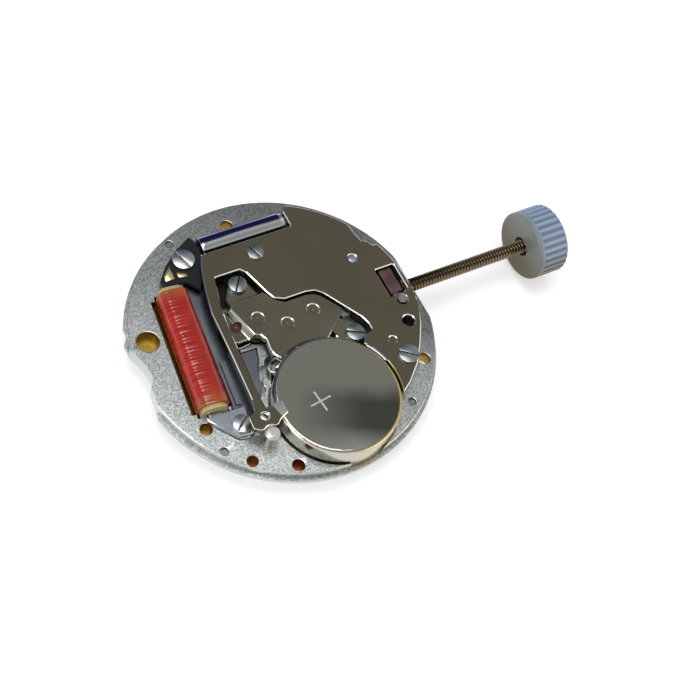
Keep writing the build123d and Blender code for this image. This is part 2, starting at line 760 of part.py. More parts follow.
# Rotor jewel
with BuildPart() as rotor_jewel:
    disc(jewel_radius, rotor_lug_low, rotor_lug_top, rotor_place)
    disc(pivot_radius + running_gap, rotor_lug_low, rotor_lug_top, rotor_place, Mode.SUBTRACT)
save(rotor_jewel.part, "rotor_jewel")


def cover_face(height, inset):
    """The outline of the module cover at a height, with its window and strip."""
    points = outline(cover_shares) + outline(cover_strip_end_shares, clamp_post_place)
    points += outline(cover_strip_shares)
    corner = 0 if inset else cover_corner
    with BuildSketch(level(height)) as face:
        with BuildLine():
            FilletPolyline(*points, radius=corner_radii(points, corner), close=True)
        make_face()
        if inset:
            offset(amount=-inset, kind=Kind.INTERSECTION)
        Circle(cover_rim_radius - inset, mode=Mode.INTERSECT)
        with BuildLine():
            Polyline(*outline(cover_bite_shares), close=True)
        make_face(mode=Mode.SUBTRACT)
    return face.sketch


# Module cover: thin polished sheet with a window for the bridge and one for the keyless works
with BuildPart() as module_cover:
    extrude(cover_face(cover_low, 0), amount=cover_thickness)
    slab(outline(lever_window_shares), cover_low, cover_top, corner=cover_corner,
         mode=Mode.SUBTRACT)
    disc(cell_radius + cell_cover_gap, 0, cell_top, cell_place, Mode.SUBTRACT)
    disc(locating_pin_radius + running_gap, 0, cell_top, locating_pin_place, Mode.SUBTRACT)
    disc(lever_pin_head_radius + side_gap, 0, cell_top, lever_pivot, Mode.SUBTRACT)
    disc(foot_hole_radius, 0, cell_top, place(cover_dark_hole_share), Mode.SUBTRACT)
    disc(dimple_radius, cover_top - cover_thickness / 2, cell_top, place(cover_dimple_share),
         Mode.SUBTRACT)
    for name in ("cover_small", "cover_large"):
        disc(screw_shank_radius + running_gap, 0, cell_top, screws[name], Mode.SUBTRACT)
    disc(clamp_post_mid_radius + running_gap, 0, cell_top, clamp_post_place, Mode.SUBTRACT)
save(module_cover.part, "module_cover")

# Module spacer: moulded plastic between the plate and the cover, which carries the circuit
with BuildPart() as module_spacer:
    extrude(cover_face(plate_top, spacer_inset), amount=cover_low - plate_top)
    slab(
        [(-plan_length, -plan_length), (bridge_points[2][0], -plan_length),
         (bridge_points[2][0], screws["bridge_left"][1]), (-plan_length, plan_length / 2)],
        0, cell_top, mode=Mode.SUBTRACT,
    )
    disc(stator_end_radius + stator_end_gap, 0, cell_top, screws["coil_top"], Mode.SUBTRACT)
    with BuildSketch(level(core_low)):
        with BuildLine():
            Polyline(*outline(terminal_board_shares), close=True)
        make_face()
        offset(amount=side_gap, kind=Kind.INTERSECTION)
    extrude(amount=core_thickness + terminal_board_thickness + side_gap, mode=Mode.SUBTRACT)
    disc(cell_radius + cell_cover_gap, 0, cell_top, cell_place, Mode.SUBTRACT)
    slab(outline(board_shares), board_low - running_gap, cell_top, mode=Mode.SUBTRACT)
    chip_place = place(chip_share)
    band(
        (chip_place[0] - chip_length / 2 - side_gap, chip_place[1]),
        (chip_place[0] + chip_length / 2 + side_gap, chip_place[1]),
        chip_width / 2 + side_gap, board_low - chip_height - side_gap, cell_top, Mode.SUBTRACT,
    )
    slab(outline(keyless_cavity_shares), keyless_cavity_floor, cell_top, mode=Mode.SUBTRACT)
    band(
        (clutch_start - side_gap, 0), (clutch_start + clutch_length + side_gap, 0),
        clutch_radius + side_gap, 0, cell_top, Mode.SUBTRACT,
    )
    band((crystal_end - spacer_inset, crystal_place[1]),
         (crystal_end + lead_length + 2 * side_gap, crystal_place[1]),
         crystal_radius, 0, cell_top, Mode.SUBTRACT)
    along_x(stem_radius + running_gap, stem_start, plate_radius, Mode.SUBTRACT)
    along_x(stem_thread_radius + running_gap, thread_start - cut_over, plate_radius,
            Mode.SUBTRACT)
    band((stem_start - side_gap, 0), (square_start, 0), pilot_block_width / 2 + side_gap,
         0, cell_top, Mode.SUBTRACT)
    disc(foot_hole_radius, 0, cell_top, place(cover_dark_hole_share), Mode.SUBTRACT)
    disc(bridge_screw_radius + coil_slot_gap, 0, cell_top, screws["bridge_right"],
         Mode.SUBTRACT)
    disc(locating_pin_radius + running_gap, 0, cell_top, locating_pin_place, Mode.SUBTRACT)
    disc(lever_pin_radius + running_gap, 0, cell_top, lever_pivot, Mode.SUBTRACT)
    disc(lever_pin_radius + running_gap, 0, cell_top, yoke_pivot, Mode.SUBTRACT)
    for name in ("cover_small", "cover_large"):
        disc(screw_shank_radius + running_gap, 0, cell_top, screws[name], Mode.SUBTRACT)
save(module_spacer.part, "module_spacer")

# Circuit board with the holes for the screw and the locating pin
with BuildPart() as circuit_board:
    with BuildSketch(level(board_low)) as board_face:
        with BuildLine():
            Polyline(*outline(board_shares), close=True)
        make_face()
        offset(amount=-side_gap, kind=Kind.INTERSECTION)
    extrude(amount=board_thickness)
    disc(locating_pin_radius + side_gap, 0, cell_top, locating_pin_place, Mode.SUBTRACT)
    disc(screw_shank_radius + side_gap, 0, cell_top, screws["cover_small"], Mode.SUBTRACT)
save(circuit_board.part, "circuit_board")

# Integrated circuit on the board's underside
with BuildPart() as integrated_circuit:
    band(
        (chip_place[0] - chip_length / 2, chip_place[1]),
        (chip_place[0] + chip_length / 2, chip_place[1]),
        chip_width / 2, board_low - chip_height, board_low,
    )
save(integrated_circuit.part, "integrated_circuit")

crystal_plane = Plane(
    (crystal_place[0], crystal_place[1], crystal_axis), x_dir=(0, 1, 0), z_dir=(1, 0, 0))

# Quartz crystal in its drawn can, closed by a glass base with two leads
with BuildPart() as crystal_can:
    with BuildSketch(crystal_plane):
        Circle(crystal_radius)
    extrude(amount=crystal_length)
    fillet(crystal_can.edges().group_by(Axis.X)[0], radius=crystal_nose)
save(crystal_can.part, "crystal_can")

base_plane = crystal_plane.offset(crystal_length)
with BuildPart() as crystal_base:
    with BuildSketch(base_plane):
        Circle(crystal_base_radius)
    extrude(amount=crystal_base_length)
save(crystal_base.part, "crystal_base")

with BuildPart() as crystal_leads:
    for side in (-1, 1):
        lead_end = lead_length - crystal_base_length
        with BuildSketch(base_plane.offset(crystal_base_length)):
            with Locations((side * lead_spread / 2, 0)):
                Circle(lead_radius)
        extrude(amount=lead_end)
        lead_place = (crystal_end + lead_length - lead_radius,
                      crystal_place[1] + side * lead_spread / 2)
        disc(lead_radius, crystal_axis, board_low, lead_place)
save(crystal_leads.part, "crystal_leads")

# Stator: the flat iron that leads the coil's field round the rotor
with BuildPart() as stator:
    slab(outline(stator_shares), stator_floor, stator_top)
    disc(stator_lobe, stator_floor, stator_top, rotor_place)
    disc(stator_end_radius, stator_floor, stator_top, screws["coil_top"])
    disc(stator_end_radius, stator_floor, stator_top, screws["coil_foot"])
    band(*outline(stator_rib_shares), stator_rib_width, stator_top,
         stator_top + stator_rib_height)
    disc(stator_rotor_hole, 0, cell_top, rotor_place, Mode.SUBTRACT)
    disc(intermediate_pinion_tip + side_gap, 0, cell_top, intermediate_place, Mode.SUBTRACT)
    for name in ("coil_top", "coil_foot"):
        disc(screw_shank_radius + running_gap, 0, cell_top, screws[name], Mode.SUBTRACT)
save(stator.part, "stator")

core_direction = polar(1, coil_angle)
core_end = coil_length + 2 * cheek_thickness

# Coil core: one soft-iron strip through the winding, with a plate at each end
with BuildPart() as coil_core:
    band(
        (coil_foot_place[0] - 2 * cheek_thickness * core_direction[0],
         coil_foot_place[1] - 2 * cheek_thickness * core_direction[1]),
        (coil_foot_place[0] + core_end * core_direction[0],
         coil_foot_place[1] + core_end * core_direction[1]),
        core_half_width, core_low, core_top,
    )
    slab(outline(core_foot_shares), core_low, core_top)
    slab(outline(core_top_shares), core_low, core_top)
    for name in ("coil_top", "coil_foot"):
        disc(screw_shank_radius + running_gap, 0, cell_top, screws[name], Mode.SUBTRACT)
save(coil_core.part, "coil_core")

coil_plane = Plane(
    (coil_foot_place[0], coil_foot_place[1], coil_middle),
    x_dir=(-core_direction[1], core_direction[0], 0),
    z_dir=(core_direction[0], core_direction[1], 0),
)
core_offset = core_low + core_thickness / 2 - coil_middle


def wound_body(plane, length, width, height, corner):
    """A rounded block round the core, open where the core passes through."""
    with BuildSketch(plane) as face:
        RectangleRounded(width, height, corner)
        with Locations((0, core_offset * plane.y_dir.Z)):
            Rectangle(2 * (core_half_width + core_gap), core_thickness + 2 * core_gap,
                      mode=Mode.SUBTRACT)
    extrude(face.sketch, amount=length)


# Coil winding under its red lacquer, between two cream cheeks
with BuildPart() as coil_winding:
    wound_body(coil_plane, coil_length, coil_width, coil_height, coil_corner)
save(coil_winding.part, "coil_winding")

with BuildPart() as coil_cheeks:
    for plane in (coil_plane.offset(-cheek_thickness), coil_plane.offset(coil_length)):
        wound_body(plane, cheek_thickness, coil_width - 2 * cheek_inset,
                   coil_height - 2 * cheek_inset, coil_corner)
save(coil_cheeks.part, "coil_cheeks")

# Terminal board at the coil's upper end, with its two golden contacts
with BuildPart() as coil_terminal_board:
    slab(outline(terminal_board_shares), core_top, core_top + terminal_board_thickness)
    disc(screw_shank_radius + running_gap, 0, cell_top, screws["coil_top"], Mode.SUBTRACT)
save(coil_terminal_board.part, "coil_terminal_board")

tab_low = core_top + terminal_board_thickness
with BuildPart() as coil_contact_tabs:
    for shares in contact_tab_shares:
        slab(outline(shares), tab_low, tab_low + contact_tab_thickness)
save(coil_contact_tabs.part, "coil_contact_tabs")

# Screws, each pair or set in one node
with BuildPart() as coil_screws:
    screw(coil_top_screw_radius, tab_low, recess_floor, screws["coil_top"],
          coil_top_slot_angle, screw_head_height, screw_shank_radius)
    screw(coil_foot_screw_radius, core_top, recess_floor, screws["coil_foot"],
          coil_foot_slot_angle, screw_head_height, screw_shank_radius)
save(coil_screws.part, "coil_screws")

with BuildPart() as bridge_screws:
    screw(bridge_screw_radius, lug_top, recess_floor, screws["bridge_left"],
          bridge_left_slot_angle, screw_head_height, screw_shank_radius)
    screw(bridge_screw_radius, lug_top, recess_floor, screws["bridge_right"],
          bridge_right_slot_angle, screw_head_height, screw_shank_radius)
save(bridge_screws.part, "bridge_screws")

with BuildPart() as cover_screws:
    screw(cover_small_screw_radius, cover_top, recess_floor, screws["cover_small"],
          cover_small_slot_angle, flat_head_height, screw_shank_radius)
    screw(cover_large_screw_radius, cover_top, recess_floor, screws["cover_large"],
          cover_large_slot_angle, flat_head_height, screw_shank_radius)
save(cover_screws.part, "cover_screws")

# Button cell: a can, a cap and the gasket between them
with BuildPart() as battery_can:
    disc(cell_radius, cell_low + running_gap, cell_top, cell_place)
    fillet(battery_can.edges().group_by(Axis.Z)[-1], radius=cell_corner)
    fillet(battery_can.edges().group_by(Axis.Z)[0], radius=cell_corner)
    disc(cell_cap_radius + gasket_wall, cell_low, cell_top - cell_wall, cell_place,
         Mode.SUBTRACT)
save(battery_can.part, "battery_can")

with BuildPart() as battery_gasket:
    disc(cell_cap_radius + gasket_wall, cell_low + running_gap, cell_top - cell_wall,
         cell_place)
    disc(cell_cap_radius, 0, cell_top - cell_wall, cell_place, Mode.SUBTRACT)
save(battery_gasket.part, "battery_gasket")

with BuildPart() as battery_cap:
    disc(cell_cap_radius, cell_low, cell_top - 2 * cell_wall, cell_place)
    fillet(battery_cap.edges().group_by(Axis.Z)[0], radius=cell_wall)
    disc(cell_cap_radius - cell_wall, cell_low + cell_wall, cell_top, cell_place,
         Mode.SUBTRACT)
save(battery_cap.part, "battery_cap")

# Insulating film under the cell, slotted for the negative contact
with BuildPart() as battery_insulator:
    disc(cell_radius, cell_floor, cell_low, cell_place)
    band(cell_place, contact_root, contact_leaf_width / 2 + side_gap, 0, cell_top,
         Mode.SUBTRACT)
    disc(contact_leaf_width / 2 + side_gap, 0, cell_top, cell_place, Mode.SUBTRACT)
save(battery_insulator.part, "battery_insulator")

# Negative contact: a leaf under the cell that rises beside it as a bent spring
with BuildPart() as negative_contact:
    disc(contact_leaf_width / 2, cell_floor, cell_floor + contact_leaf_thickness, cell_place)
    band(cell_place, contact_root, contact_leaf_width / 2, cell_floor,
         cell_floor + contact_leaf_thickness)
    with BuildSketch(level(cell_floor)):
        with BuildLine():
            FilletPolyline(*spring_points, radius=contact_thickness)
        trace(line_width=contact_thickness)
    extrude(amount=contact_top - cell_floor)
save(negative_contact.part, "negative_contact")

# Positive contact: a curved blade that presses on the cell's side
blade_radius = cell_radius + cell_clearance
with BuildPart() as positive_contact:
    with BuildSketch(level(positive_contact_low, cell_place)):
        Circle(blade_radius + contact_thickness)
        Circle(blade_radius, mode=Mode.SUBTRACT)
        with BuildLine():
            Polyline(
                (0, 0), polar(2 * blade_radius, positive_contact_from),
                polar(2 * blade_radius, positive_contact_to), close=True,
            )
        make_face(mode=Mode.INTERSECT)
    extrude(amount=positive_contact_top - positive_contact_low)
save(positive_contact.part, "positive_contact")

# Battery clamp on its post and pin
with BuildPart() as battery_clamp:
    slab(outline(clamp_shares, clamp_post_place), cell_top, cell_top + clamp_thickness,
         corner=clamp_thickness / 2)
    disc(clamp_post_top_radius + running_gap, 0, cell_top + cut_over, clamp_post_place,
         Mode.SUBTRACT)
    disc(clamp_pin_head_radius + running_gap, 0, cell_top + cut_over, clamp_pin_place,
         Mode.SUBTRACT)
save(battery_clamp.part, "battery_clamp")

with BuildPart() as clamp_post:
    disc(clamp_post_top_radius, recess_floor + running_gap, cell_top + clamp_thickness,
         clamp_post_place)
    disc(clamp_post_base_radius, plate_top, cover_low, clamp_post_place)
    disc(clamp_post_mid_radius, cover_low, cell_top, clamp_post_place)
    disc(clamp_post_bore, cover_low, cell_top + cut_over, clamp_post_place, Mode.SUBTRACT)
save(clamp_post.part, "clamp_post")

with BuildPart() as clamp_pin:
    disc(clamp_pin_radius, recess_floor + running_gap, cell_top, clamp_pin_place)
    disc(clamp_pin_head_radius, cell_top + clamp_thickness - clamp_pin_head_height,
         cell_top + clamp_thickness, clamp_pin_place)
    chamfer(clamp_pin.edges().group_by(Axis.Z)[-1], length=clamp_thickness)
save(clamp_pin.part, "clamp_pin")

with BuildPart() as locating_pin:
    disc(locating_pin_radius, recess_floor + running_gap, cover_top - running_gap,
         locating_pin_place)
save(locating_pin.part, "locating_pin")

# Rotor: a round magnet on a steel shaft with its pinion
rotor_pinion_low = intermediate_wheel_low - (pinion_height - wheel_thickness) / 2
with BuildPart() as rotor_magnet:
    disc(rotor_magnet_radius, rotor_magnet_low, rotor_magnet_low + rotor_magnet_height,
         rotor_place)
    disc(arbor_radius, 0, cell_top, rotor_place, Mode.SUBTRACT)
save(rotor_magnet.part, "rotor_magnet")

with BuildPart() as rotor_shaft:
    disc(arbor_radius, pocket_floor + running_gap, rotor_lug_low - running_gap, rotor_place)
    disc(pivot_radius, recess_floor + 2 * running_gap, rotor_lug_top, rotor_place)
    toothed(rotor_teeth, rotor_module, rotor_angle, rotor_pinion_low,
            rotor_pinion_low + pinion_height, rotor_place)
save(rotor_shaft.part, "rotor_shaft")

# Intermediate wheel
with BuildPart() as intermediate_wheel:
    toothed(intermediate_teeth, rotor_module, intermediate_phase, intermediate_wheel_low,
            intermediate_wheel_low + wheel_thickness, intermediate_place)
    crossings(intermediate_teeth * rotor_module / 2, 5, intermediate_wheel_low,
              intermediate_place)
    intermediate_pinion_low = seconds_wheel_low - (pinion_height - wheel_thickness) / 2
    toothed(intermediate_pinion_teeth, seconds_module, seconds_angle, intermediate_pinion_low,
            intermediate_pinion_low + pinion_height, intermediate_place)
    disc(arbor_radius, pocket_floor + running_gap, bridge_low - running_gap,
         intermediate_place)
    disc(pivot_radius, recess_floor + 2 * running_gap, bridge_top - oil_sink_depth,
         intermediate_place)
save(intermediate_wheel.part, "intermediate_wheel")

# Seconds wheel on the long centre arbor
seconds_pinion_low = third_wheel_low - (pinion_height - wheel_thickness) / 2 + running_gap
with BuildPart() as seconds_wheel:
    toothed(seconds_teeth, seconds_module, seconds_phase, seconds_wheel_low,
            seconds_wheel_low + wheel_thickness)
    crossings(seconds_teeth * seconds_module / 2, 5, seconds_wheel_low, (0, 0))
    toothed(seconds_pinion_teeth, third_module, third_angle, seconds_pinion_low,
            seconds_pinion_low + pinion_height)
    disc(seconds_arbor_radius, -seconds_drop, bridge_low - running_gap)
    disc(pivot_radius, bridge_low - cut_over, bridge_top - oil_sink_depth)
save(seconds_wheel.part, "seconds_wheel")

# Third wheel, whose pinion works below the plate floor
third_pinion_low = driving_wheel_low - running_gap
with BuildPart() as third_wheel:
    toothed(third_teeth, third_module, third_phase, third_wheel_low,
            third_wheel_low + wheel_thickness, third_place)
    crossings(third_teeth * third_module / 2, 5, third_wheel_low, third_place)
    toothed(third_pinion_teeth, driving_module, third_angle + 180, third_pinion_low,
            third_pinion_low + driving_wheel_thickness + 2 * running_gap, third_place)
    disc(arbor_radius, dial_bridge_top + running_gap, bridge_low - running_gap, third_place)
    disc(pivot_radius, dial_bridge_low, bridge_top - oil_sink_depth, third_place)
save(third_wheel.part, "third_wheel")

# Driving wheel, held on the cannon pinion by friction
with BuildPart() as driving_wheel:
    toothed(driving_teeth, driving_module, driving_phase, driving_wheel_low,
            driving_wheel_low + driving_wheel_thickness)
    disc(cannon_radius + running_gap, 0, cell_top, mode=Mode.SUBTRACT)
save(driving_wheel.part, "driving_wheel")

# Centre tube, fixed in the plate floor
with BuildPart() as centre_tube:
    disc(centre_tube_radius, -centre_tube_drop, pocket_floor)
    disc(centre_tube_bore, -seconds_drop, pocket_floor, mode=Mode.SUBTRACT)
save(centre_tube.part, "centre_tube")

# Cannon pinion: carries the minute hand
with BuildPart() as cannon_pinion:
    disc(cannon_radius, minute_seat_length - cannon_drop, recess_floor - running_gap)
    disc(minute_seat_radius, -cannon_drop, minute_seat_length - cannon_drop)
    toothed(cannon_teeth, minute_module, minute_axis_angle, cannon_teeth_low,
            cannon_teeth_low + cannon_teeth_height)
    disc(cannon_bore, -seconds_drop, recess_floor, mode=Mode.SUBTRACT)
save(cannon_pinion.part, "cannon_pinion")

# Minute wheel with its pinion
minute_wheel_low = cannon_teeth_low + running_gap / 2
with BuildPart() as minute_wheel:
    toothed(minute_teeth, minute_module, minute_phase, minute_wheel_low,
            minute_wheel_low + motion_wheel_thickness, minute_place)
    toothed(minute_pinion_teeth, hour_module, minute_axis_angle + 180, hour_wheel_low,
            minute_wheel_low, minute_place)
    disc(motion_post_radius + running_gap, 0, cell_top, minute_place, Mode.SUBTRACT)
save(minute_wheel.part, "minute_wheel")

# Hour wheel: its pipe carries the hour hand
with BuildPart() as hour_wheel:
    toothed(hour_teeth, hour_module, hour_phase, hour_wheel_low,
            hour_wheel_low + motion_wheel_thickness)
    disc(hour_pipe_radius, -hour_pipe_drop, hour_wheel_low)
    disc(hour_pipe_bore, -seconds_drop, cell_top, mode=Mode.SUBTRACT)
save(hour_wheel.part, "hour_wheel")

# Setting idler and setting wheel on their posts
with BuildPart() as setting_idler:
    toothed(idler_teeth, minute_module, idler_phase, minute_wheel_low,
            minute_wheel_low + motion_wheel_thickness, idler_place)
    disc(motion_post_radius + running_gap, 0, cell_top, idler_place, Mode.SUBTRACT)
save(setting_idler.part, "setting_idler")

with BuildPart() as setting_wheel:
    toothed(setting_teeth, minute_module, setting_phase, minute_wheel_low,
            minute_wheel_low + motion_wheel_thickness, setting_place)
    disc(motion_post_radius + running_gap, 0, cell_top, setting_place, Mode.SUBTRACT)
save(setting_wheel.part, "setting_wheel")

# Small bridge over the motion works, on the dial side
with BuildPart() as dial_side_bridge:
    with BuildSketch(level(dial_bridge_low)) as dial_bridge_face:
        with BuildLine():
            Polyline(*outline(dial_bridge_shares), close=True)
        make_face()
        offset(amount=-side_gap, kind=Kind.INTERSECTION)
    extrude(amount=dial_bridge_thickness)
    disc(hour_tip + side_gap, 0, cell_top, mode=Mode.SUBTRACT)
    disc(pivot_radius + running_gap, 0, cell_top, third_place, Mode.SUBTRACT)
    for post_place in (minute_place, idler_place, setting_place):
        disc(motion_post_radius + running_gap, 0, cell_top, post_place, Mode.SUBTRACT)
    for share in dial_screw_shares:
        disc(dial_screw_radius + running_gap, 0, dial_bridge_low + dial_screw_head_height,
             place(share), Mode.SUBTRACT)
        disc(dial_screw_shank + running_gap, 0, cell_top, place(share), Mode.SUBTRACT)
save(dial_side_bridge.part, "dial_side_bridge")

with BuildPart() as dial_bridge_screws:
    for share in dial_screw_shares:
        disc(dial_screw_radius, dial_bridge_low, dial_bridge_low + dial_screw_head_height,
             place(share))
        disc(dial_screw_shank, dial_bridge_low, recess_floor, place(share))
        screw_place = place(share)
        band((screw_place[0] - dial_screw_radius, screw_place[1]),
             (screw_place[0] + dial_screw_radius, screw_place[1]), screw_slot_width / 2,
             0, dial_bridge_low + dial_screw_head_height / 2, Mode.SUBTRACT)
save(dial_bridge_screws.part, "dial_bridge_screws")


def square_along_x(size, start, end, mode=Mode.ADD):
    """A square bar about the stem's axis."""
    with BuildSketch(Plane((start, 0, stem_height), x_dir=(0, 1, 0), z_dir=(1, 0, 0))) as face:
        Rectangle(size, size)
    extrude(face.sketch, amount=end - start, mode=mode)


# Sliding pinion on the stem's square
with BuildPart() as sliding_pinion:
    along_x(clutch_radius, clutch_start, clutch_start + clutch_length)
    along_x(clutch_radius + cut_over, clutch_groove_start,
            clutch_groove_start + clutch_groove_width, Mode.SUBTRACT)
    along_x(clutch_groove_radius, clutch_groove_start - running_gap,
            clutch_groove_start + clutch_groove_width + running_gap)
    clutch_face = Plane((clutch_start, 0, stem_height), x_dir=(0, 1, 0), z_dir=(1, 0, 0))
    with BuildSketch(clutch_face):
        with PolarLocations(clutch_radius, clutch_teeth):
            Rectangle(clutch_radius, clutch_tooth_depth)
    extrude(amount=clutch_tooth_depth, mode=Mode.SUBTRACT)
    square_along_x(stem_square + 2 * running_gap, clutch_start, clutch_start + clutch_length,
                   Mode.SUBTRACT)
save(sliding_pinion.part, "sliding_pinion")

# Winding stem: pilot, square, shoulder with the lever's groove, and the threaded shaft
with BuildPart() as stem:
    along_x(stem_pilot_radius, stem_start, square_start + running_gap)
    square_along_x(stem_square, square_start, square_end)
    along_x(stem_radius, square_end, thread_start)
    along_x(stem_thread_radius, thread_start, crown_face + crown_bore_depth)
    along_x(stem_radius + cut_over, groove_centre - stem_groove_width / 2,
            groove_centre + stem_groove_width / 2, Mode.SUBTRACT)
    along_x(stem_groove_radius, groove_centre - stem_groove_width, groove_centre
            + stem_groove_width)
save(stem.part, "stem")

# Transport crown: moulded plastic with flutes round its rim
with BuildPart() as crown:
    along_x(crown_radius, crown_face, crown_face + crown_length)
    fillet(crown.edges().group_by(Axis.X)[0], radius=crown_round)
    fillet(crown.edges().group_by(Axis.X)[-1], radius=crown_round / 2)
    flute_plane = Plane(
        (crown_face + crown_lip, 0, stem_height), x_dir=(0, 1, 0), z_dir=(1, 0, 0))
    with BuildSketch(flute_plane):
        with PolarLocations(crown_radius + crown_flute_radius / 3, crown_flutes):
            Circle(crown_flute_radius)
    extrude(amount=crown_length, mode=Mode.SUBTRACT)
    along_x(crown_recess_radius, crown_face, crown_face + crown_recess_depth, Mode.SUBTRACT)
    along_x(stem_thread_radius, crown_face, crown_face + crown_bore_depth, Mode.SUBTRACT)
save(crown.part, "crown")

# Setting lever: turns on its pin, with a nose in the stem's groove
nose_place = (groove_centre, 0)
with BuildPart() as setting_lever:
    disc(lever_eye_radius, lever_low, lever_top, lever_pivot)
    disc(lever_arm_half + side_gap, lever_low, lever_top, nose_place)
    band(lever_pivot, nose_place, lever_arm_half, lever_low, lever_top)
    disc(lever_nose_radius, stem_height + stem_groove_radius + running_gap, lever_low,
         nose_place)
    disc(lever_pin_radius + running_gap, 0, cell_top, lever_pivot, Mode.SUBTRACT)
save(setting_lever.part, "setting_lever")

# Yoke: its tip sits in the sliding pinion's groove
yoke_tip = (clutch_groove_start + clutch_groove_width * yoke_tip_share, 0)
with BuildPart() as yoke:
    disc(yoke_eye_radius, lever_low, lever_top, yoke_pivot)
    band(yoke_pivot, yoke_tip, yoke_tip_half, lever_low, lever_top)
    disc(lever_pin_radius + running_gap, 0, cell_top, yoke_pivot, Mode.SUBTRACT)
save(yoke.part, "yoke")

with BuildPart() as keyless_pins:
    disc(lever_pin_radius, recess_floor + running_gap, lever_pin_top, lever_pivot)
    disc(lever_pin_head_radius, lever_top + running_gap, lever_pin_top, lever_pivot)
    disc(lever_pin_radius, recess_floor + running_gap, cover_low - running_gap, yoke_pivot)
save(keyless_pins.part, "keyless_pins")

# Jumper spring plate, seen through the cover's small window
with BuildPart() as lever_jumper:
    slab(outline(jumper_shares), lever_top + jumper_gap,
         lever_top + jumper_gap + jumper_thickness)
save(lever_jumper.part, "lever_jumper")
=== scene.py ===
import random
from math import atan2, cos, hypot, radians, sin, tau

import bmesh
import bpy
from mathutils import Matrix, Vector


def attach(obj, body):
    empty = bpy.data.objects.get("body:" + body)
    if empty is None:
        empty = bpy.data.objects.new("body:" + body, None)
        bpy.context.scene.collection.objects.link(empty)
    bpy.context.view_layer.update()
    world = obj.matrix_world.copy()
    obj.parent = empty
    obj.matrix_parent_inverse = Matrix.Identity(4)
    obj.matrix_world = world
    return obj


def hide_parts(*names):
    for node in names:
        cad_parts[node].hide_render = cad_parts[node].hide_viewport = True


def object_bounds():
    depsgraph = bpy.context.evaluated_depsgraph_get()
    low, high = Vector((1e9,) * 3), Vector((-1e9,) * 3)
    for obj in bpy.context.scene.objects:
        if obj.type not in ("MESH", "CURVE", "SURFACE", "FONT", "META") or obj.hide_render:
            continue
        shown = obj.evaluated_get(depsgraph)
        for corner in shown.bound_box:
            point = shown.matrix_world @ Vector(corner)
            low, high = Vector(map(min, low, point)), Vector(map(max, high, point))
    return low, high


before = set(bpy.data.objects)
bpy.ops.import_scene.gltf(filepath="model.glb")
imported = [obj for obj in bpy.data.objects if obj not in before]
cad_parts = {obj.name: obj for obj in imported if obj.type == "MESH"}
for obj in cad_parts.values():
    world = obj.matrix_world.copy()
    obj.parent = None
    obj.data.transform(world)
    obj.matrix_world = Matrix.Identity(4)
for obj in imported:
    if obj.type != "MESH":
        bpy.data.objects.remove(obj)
cad_low, cad_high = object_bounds()

# The photographer's camera stands over the coil's side of the movement and looks along the stem
# towards the crown at the upper right. Its place was fitted to the movement's round edges.
MM = 0.001
camera_turn = radians(-49.29)
camera_height = radians(57.44)
camera_roll = radians(24.22)
camera_distance = 90.0 * MM
camera_slide = Vector((-4.236 * MM, 0.712 * MM))
focal_length = 74.27
sensor_width = 36.0
nearest_seen = 1 * MM
farthest_seen = 5000 * MM

away = Vector((
    sin(camera_turn) * cos(camera_height),
    -cos(camera_turn) * cos(camera_height),
    sin(camera_height),
))
level_right = Vector((cos(camera_turn), sin(camera_turn), 0))
level_up = away.cross(level_right)
picture_right = cos(camera_roll) * level_right + sin(camera_roll) * level_up
picture_up = cos(camera_roll) * level_up - sin(camera_roll) * level_right
camera_data = bpy.data.cameras.new("camera")
camera_data.lens = focal_length
camera_data.sensor_width = sensor_width
camera_data.clip_start = nearest_seen
camera_data.clip_end = farthest_seen
camera = bpy.data.objects.new("camera", camera_data)
bpy.context.scene.collection.objects.link(camera)
camera.matrix_world = Matrix.Translation(
    away * camera_distance - picture_right * camera_slide.x - picture_up * camera_slide.y
) @ Matrix((picture_right, picture_up, away)).transposed().to_4x4()
bpy.context.scene.camera = camera
bpy.context.scene.view_settings.view_transform = "Standard"


# The white photographer's table isn't part of the object. It fades into its backdrop and keeps
# only the soft shadow under the movement.
def take(piece):
    """Selects one piece alone and makes it the active one."""
    bpy.ops.object.select_all(action="DESELECT")
    piece.select_set(True)
    bpy.context.view_layer.objects.active = piece


def adder(tree):
    """What adds a node to a tree, with a value or a link for each socket that is named."""
    def add(kind, sockets=None, **settings):
        node = tree.nodes.new(kind)
        for key, value in settings.items():
            setattr(node, key, value)
        for socket, value in (sockets or {}).items():
            if isinstance(value, bpy.types.NodeSocket):
                tree.links.new(value, node.inputs[socket])
            else:
                node.inputs[socket].default_value = value
        return node

    return add


def fresh_material(name):
    """What adds a node to a new material, and what closes the material with its shader."""
    material = bpy.data.materials.new(name)
    material.use_nodes = True
    tree = material.node_tree
    tree.nodes.clear()
    output = tree.nodes.new("ShaderNodeOutputMaterial")

    def close(shader):
        tree.links.new(shader.outputs[0], output.inputs["Surface"])
        return material

    return adder(tree), close


def reckon(add, operation, *terms):
    """What one operation makes of its numbers or sockets."""
    return add("ShaderNodeMath", dict(enumerate(terms)), operation=operation).outputs[0]


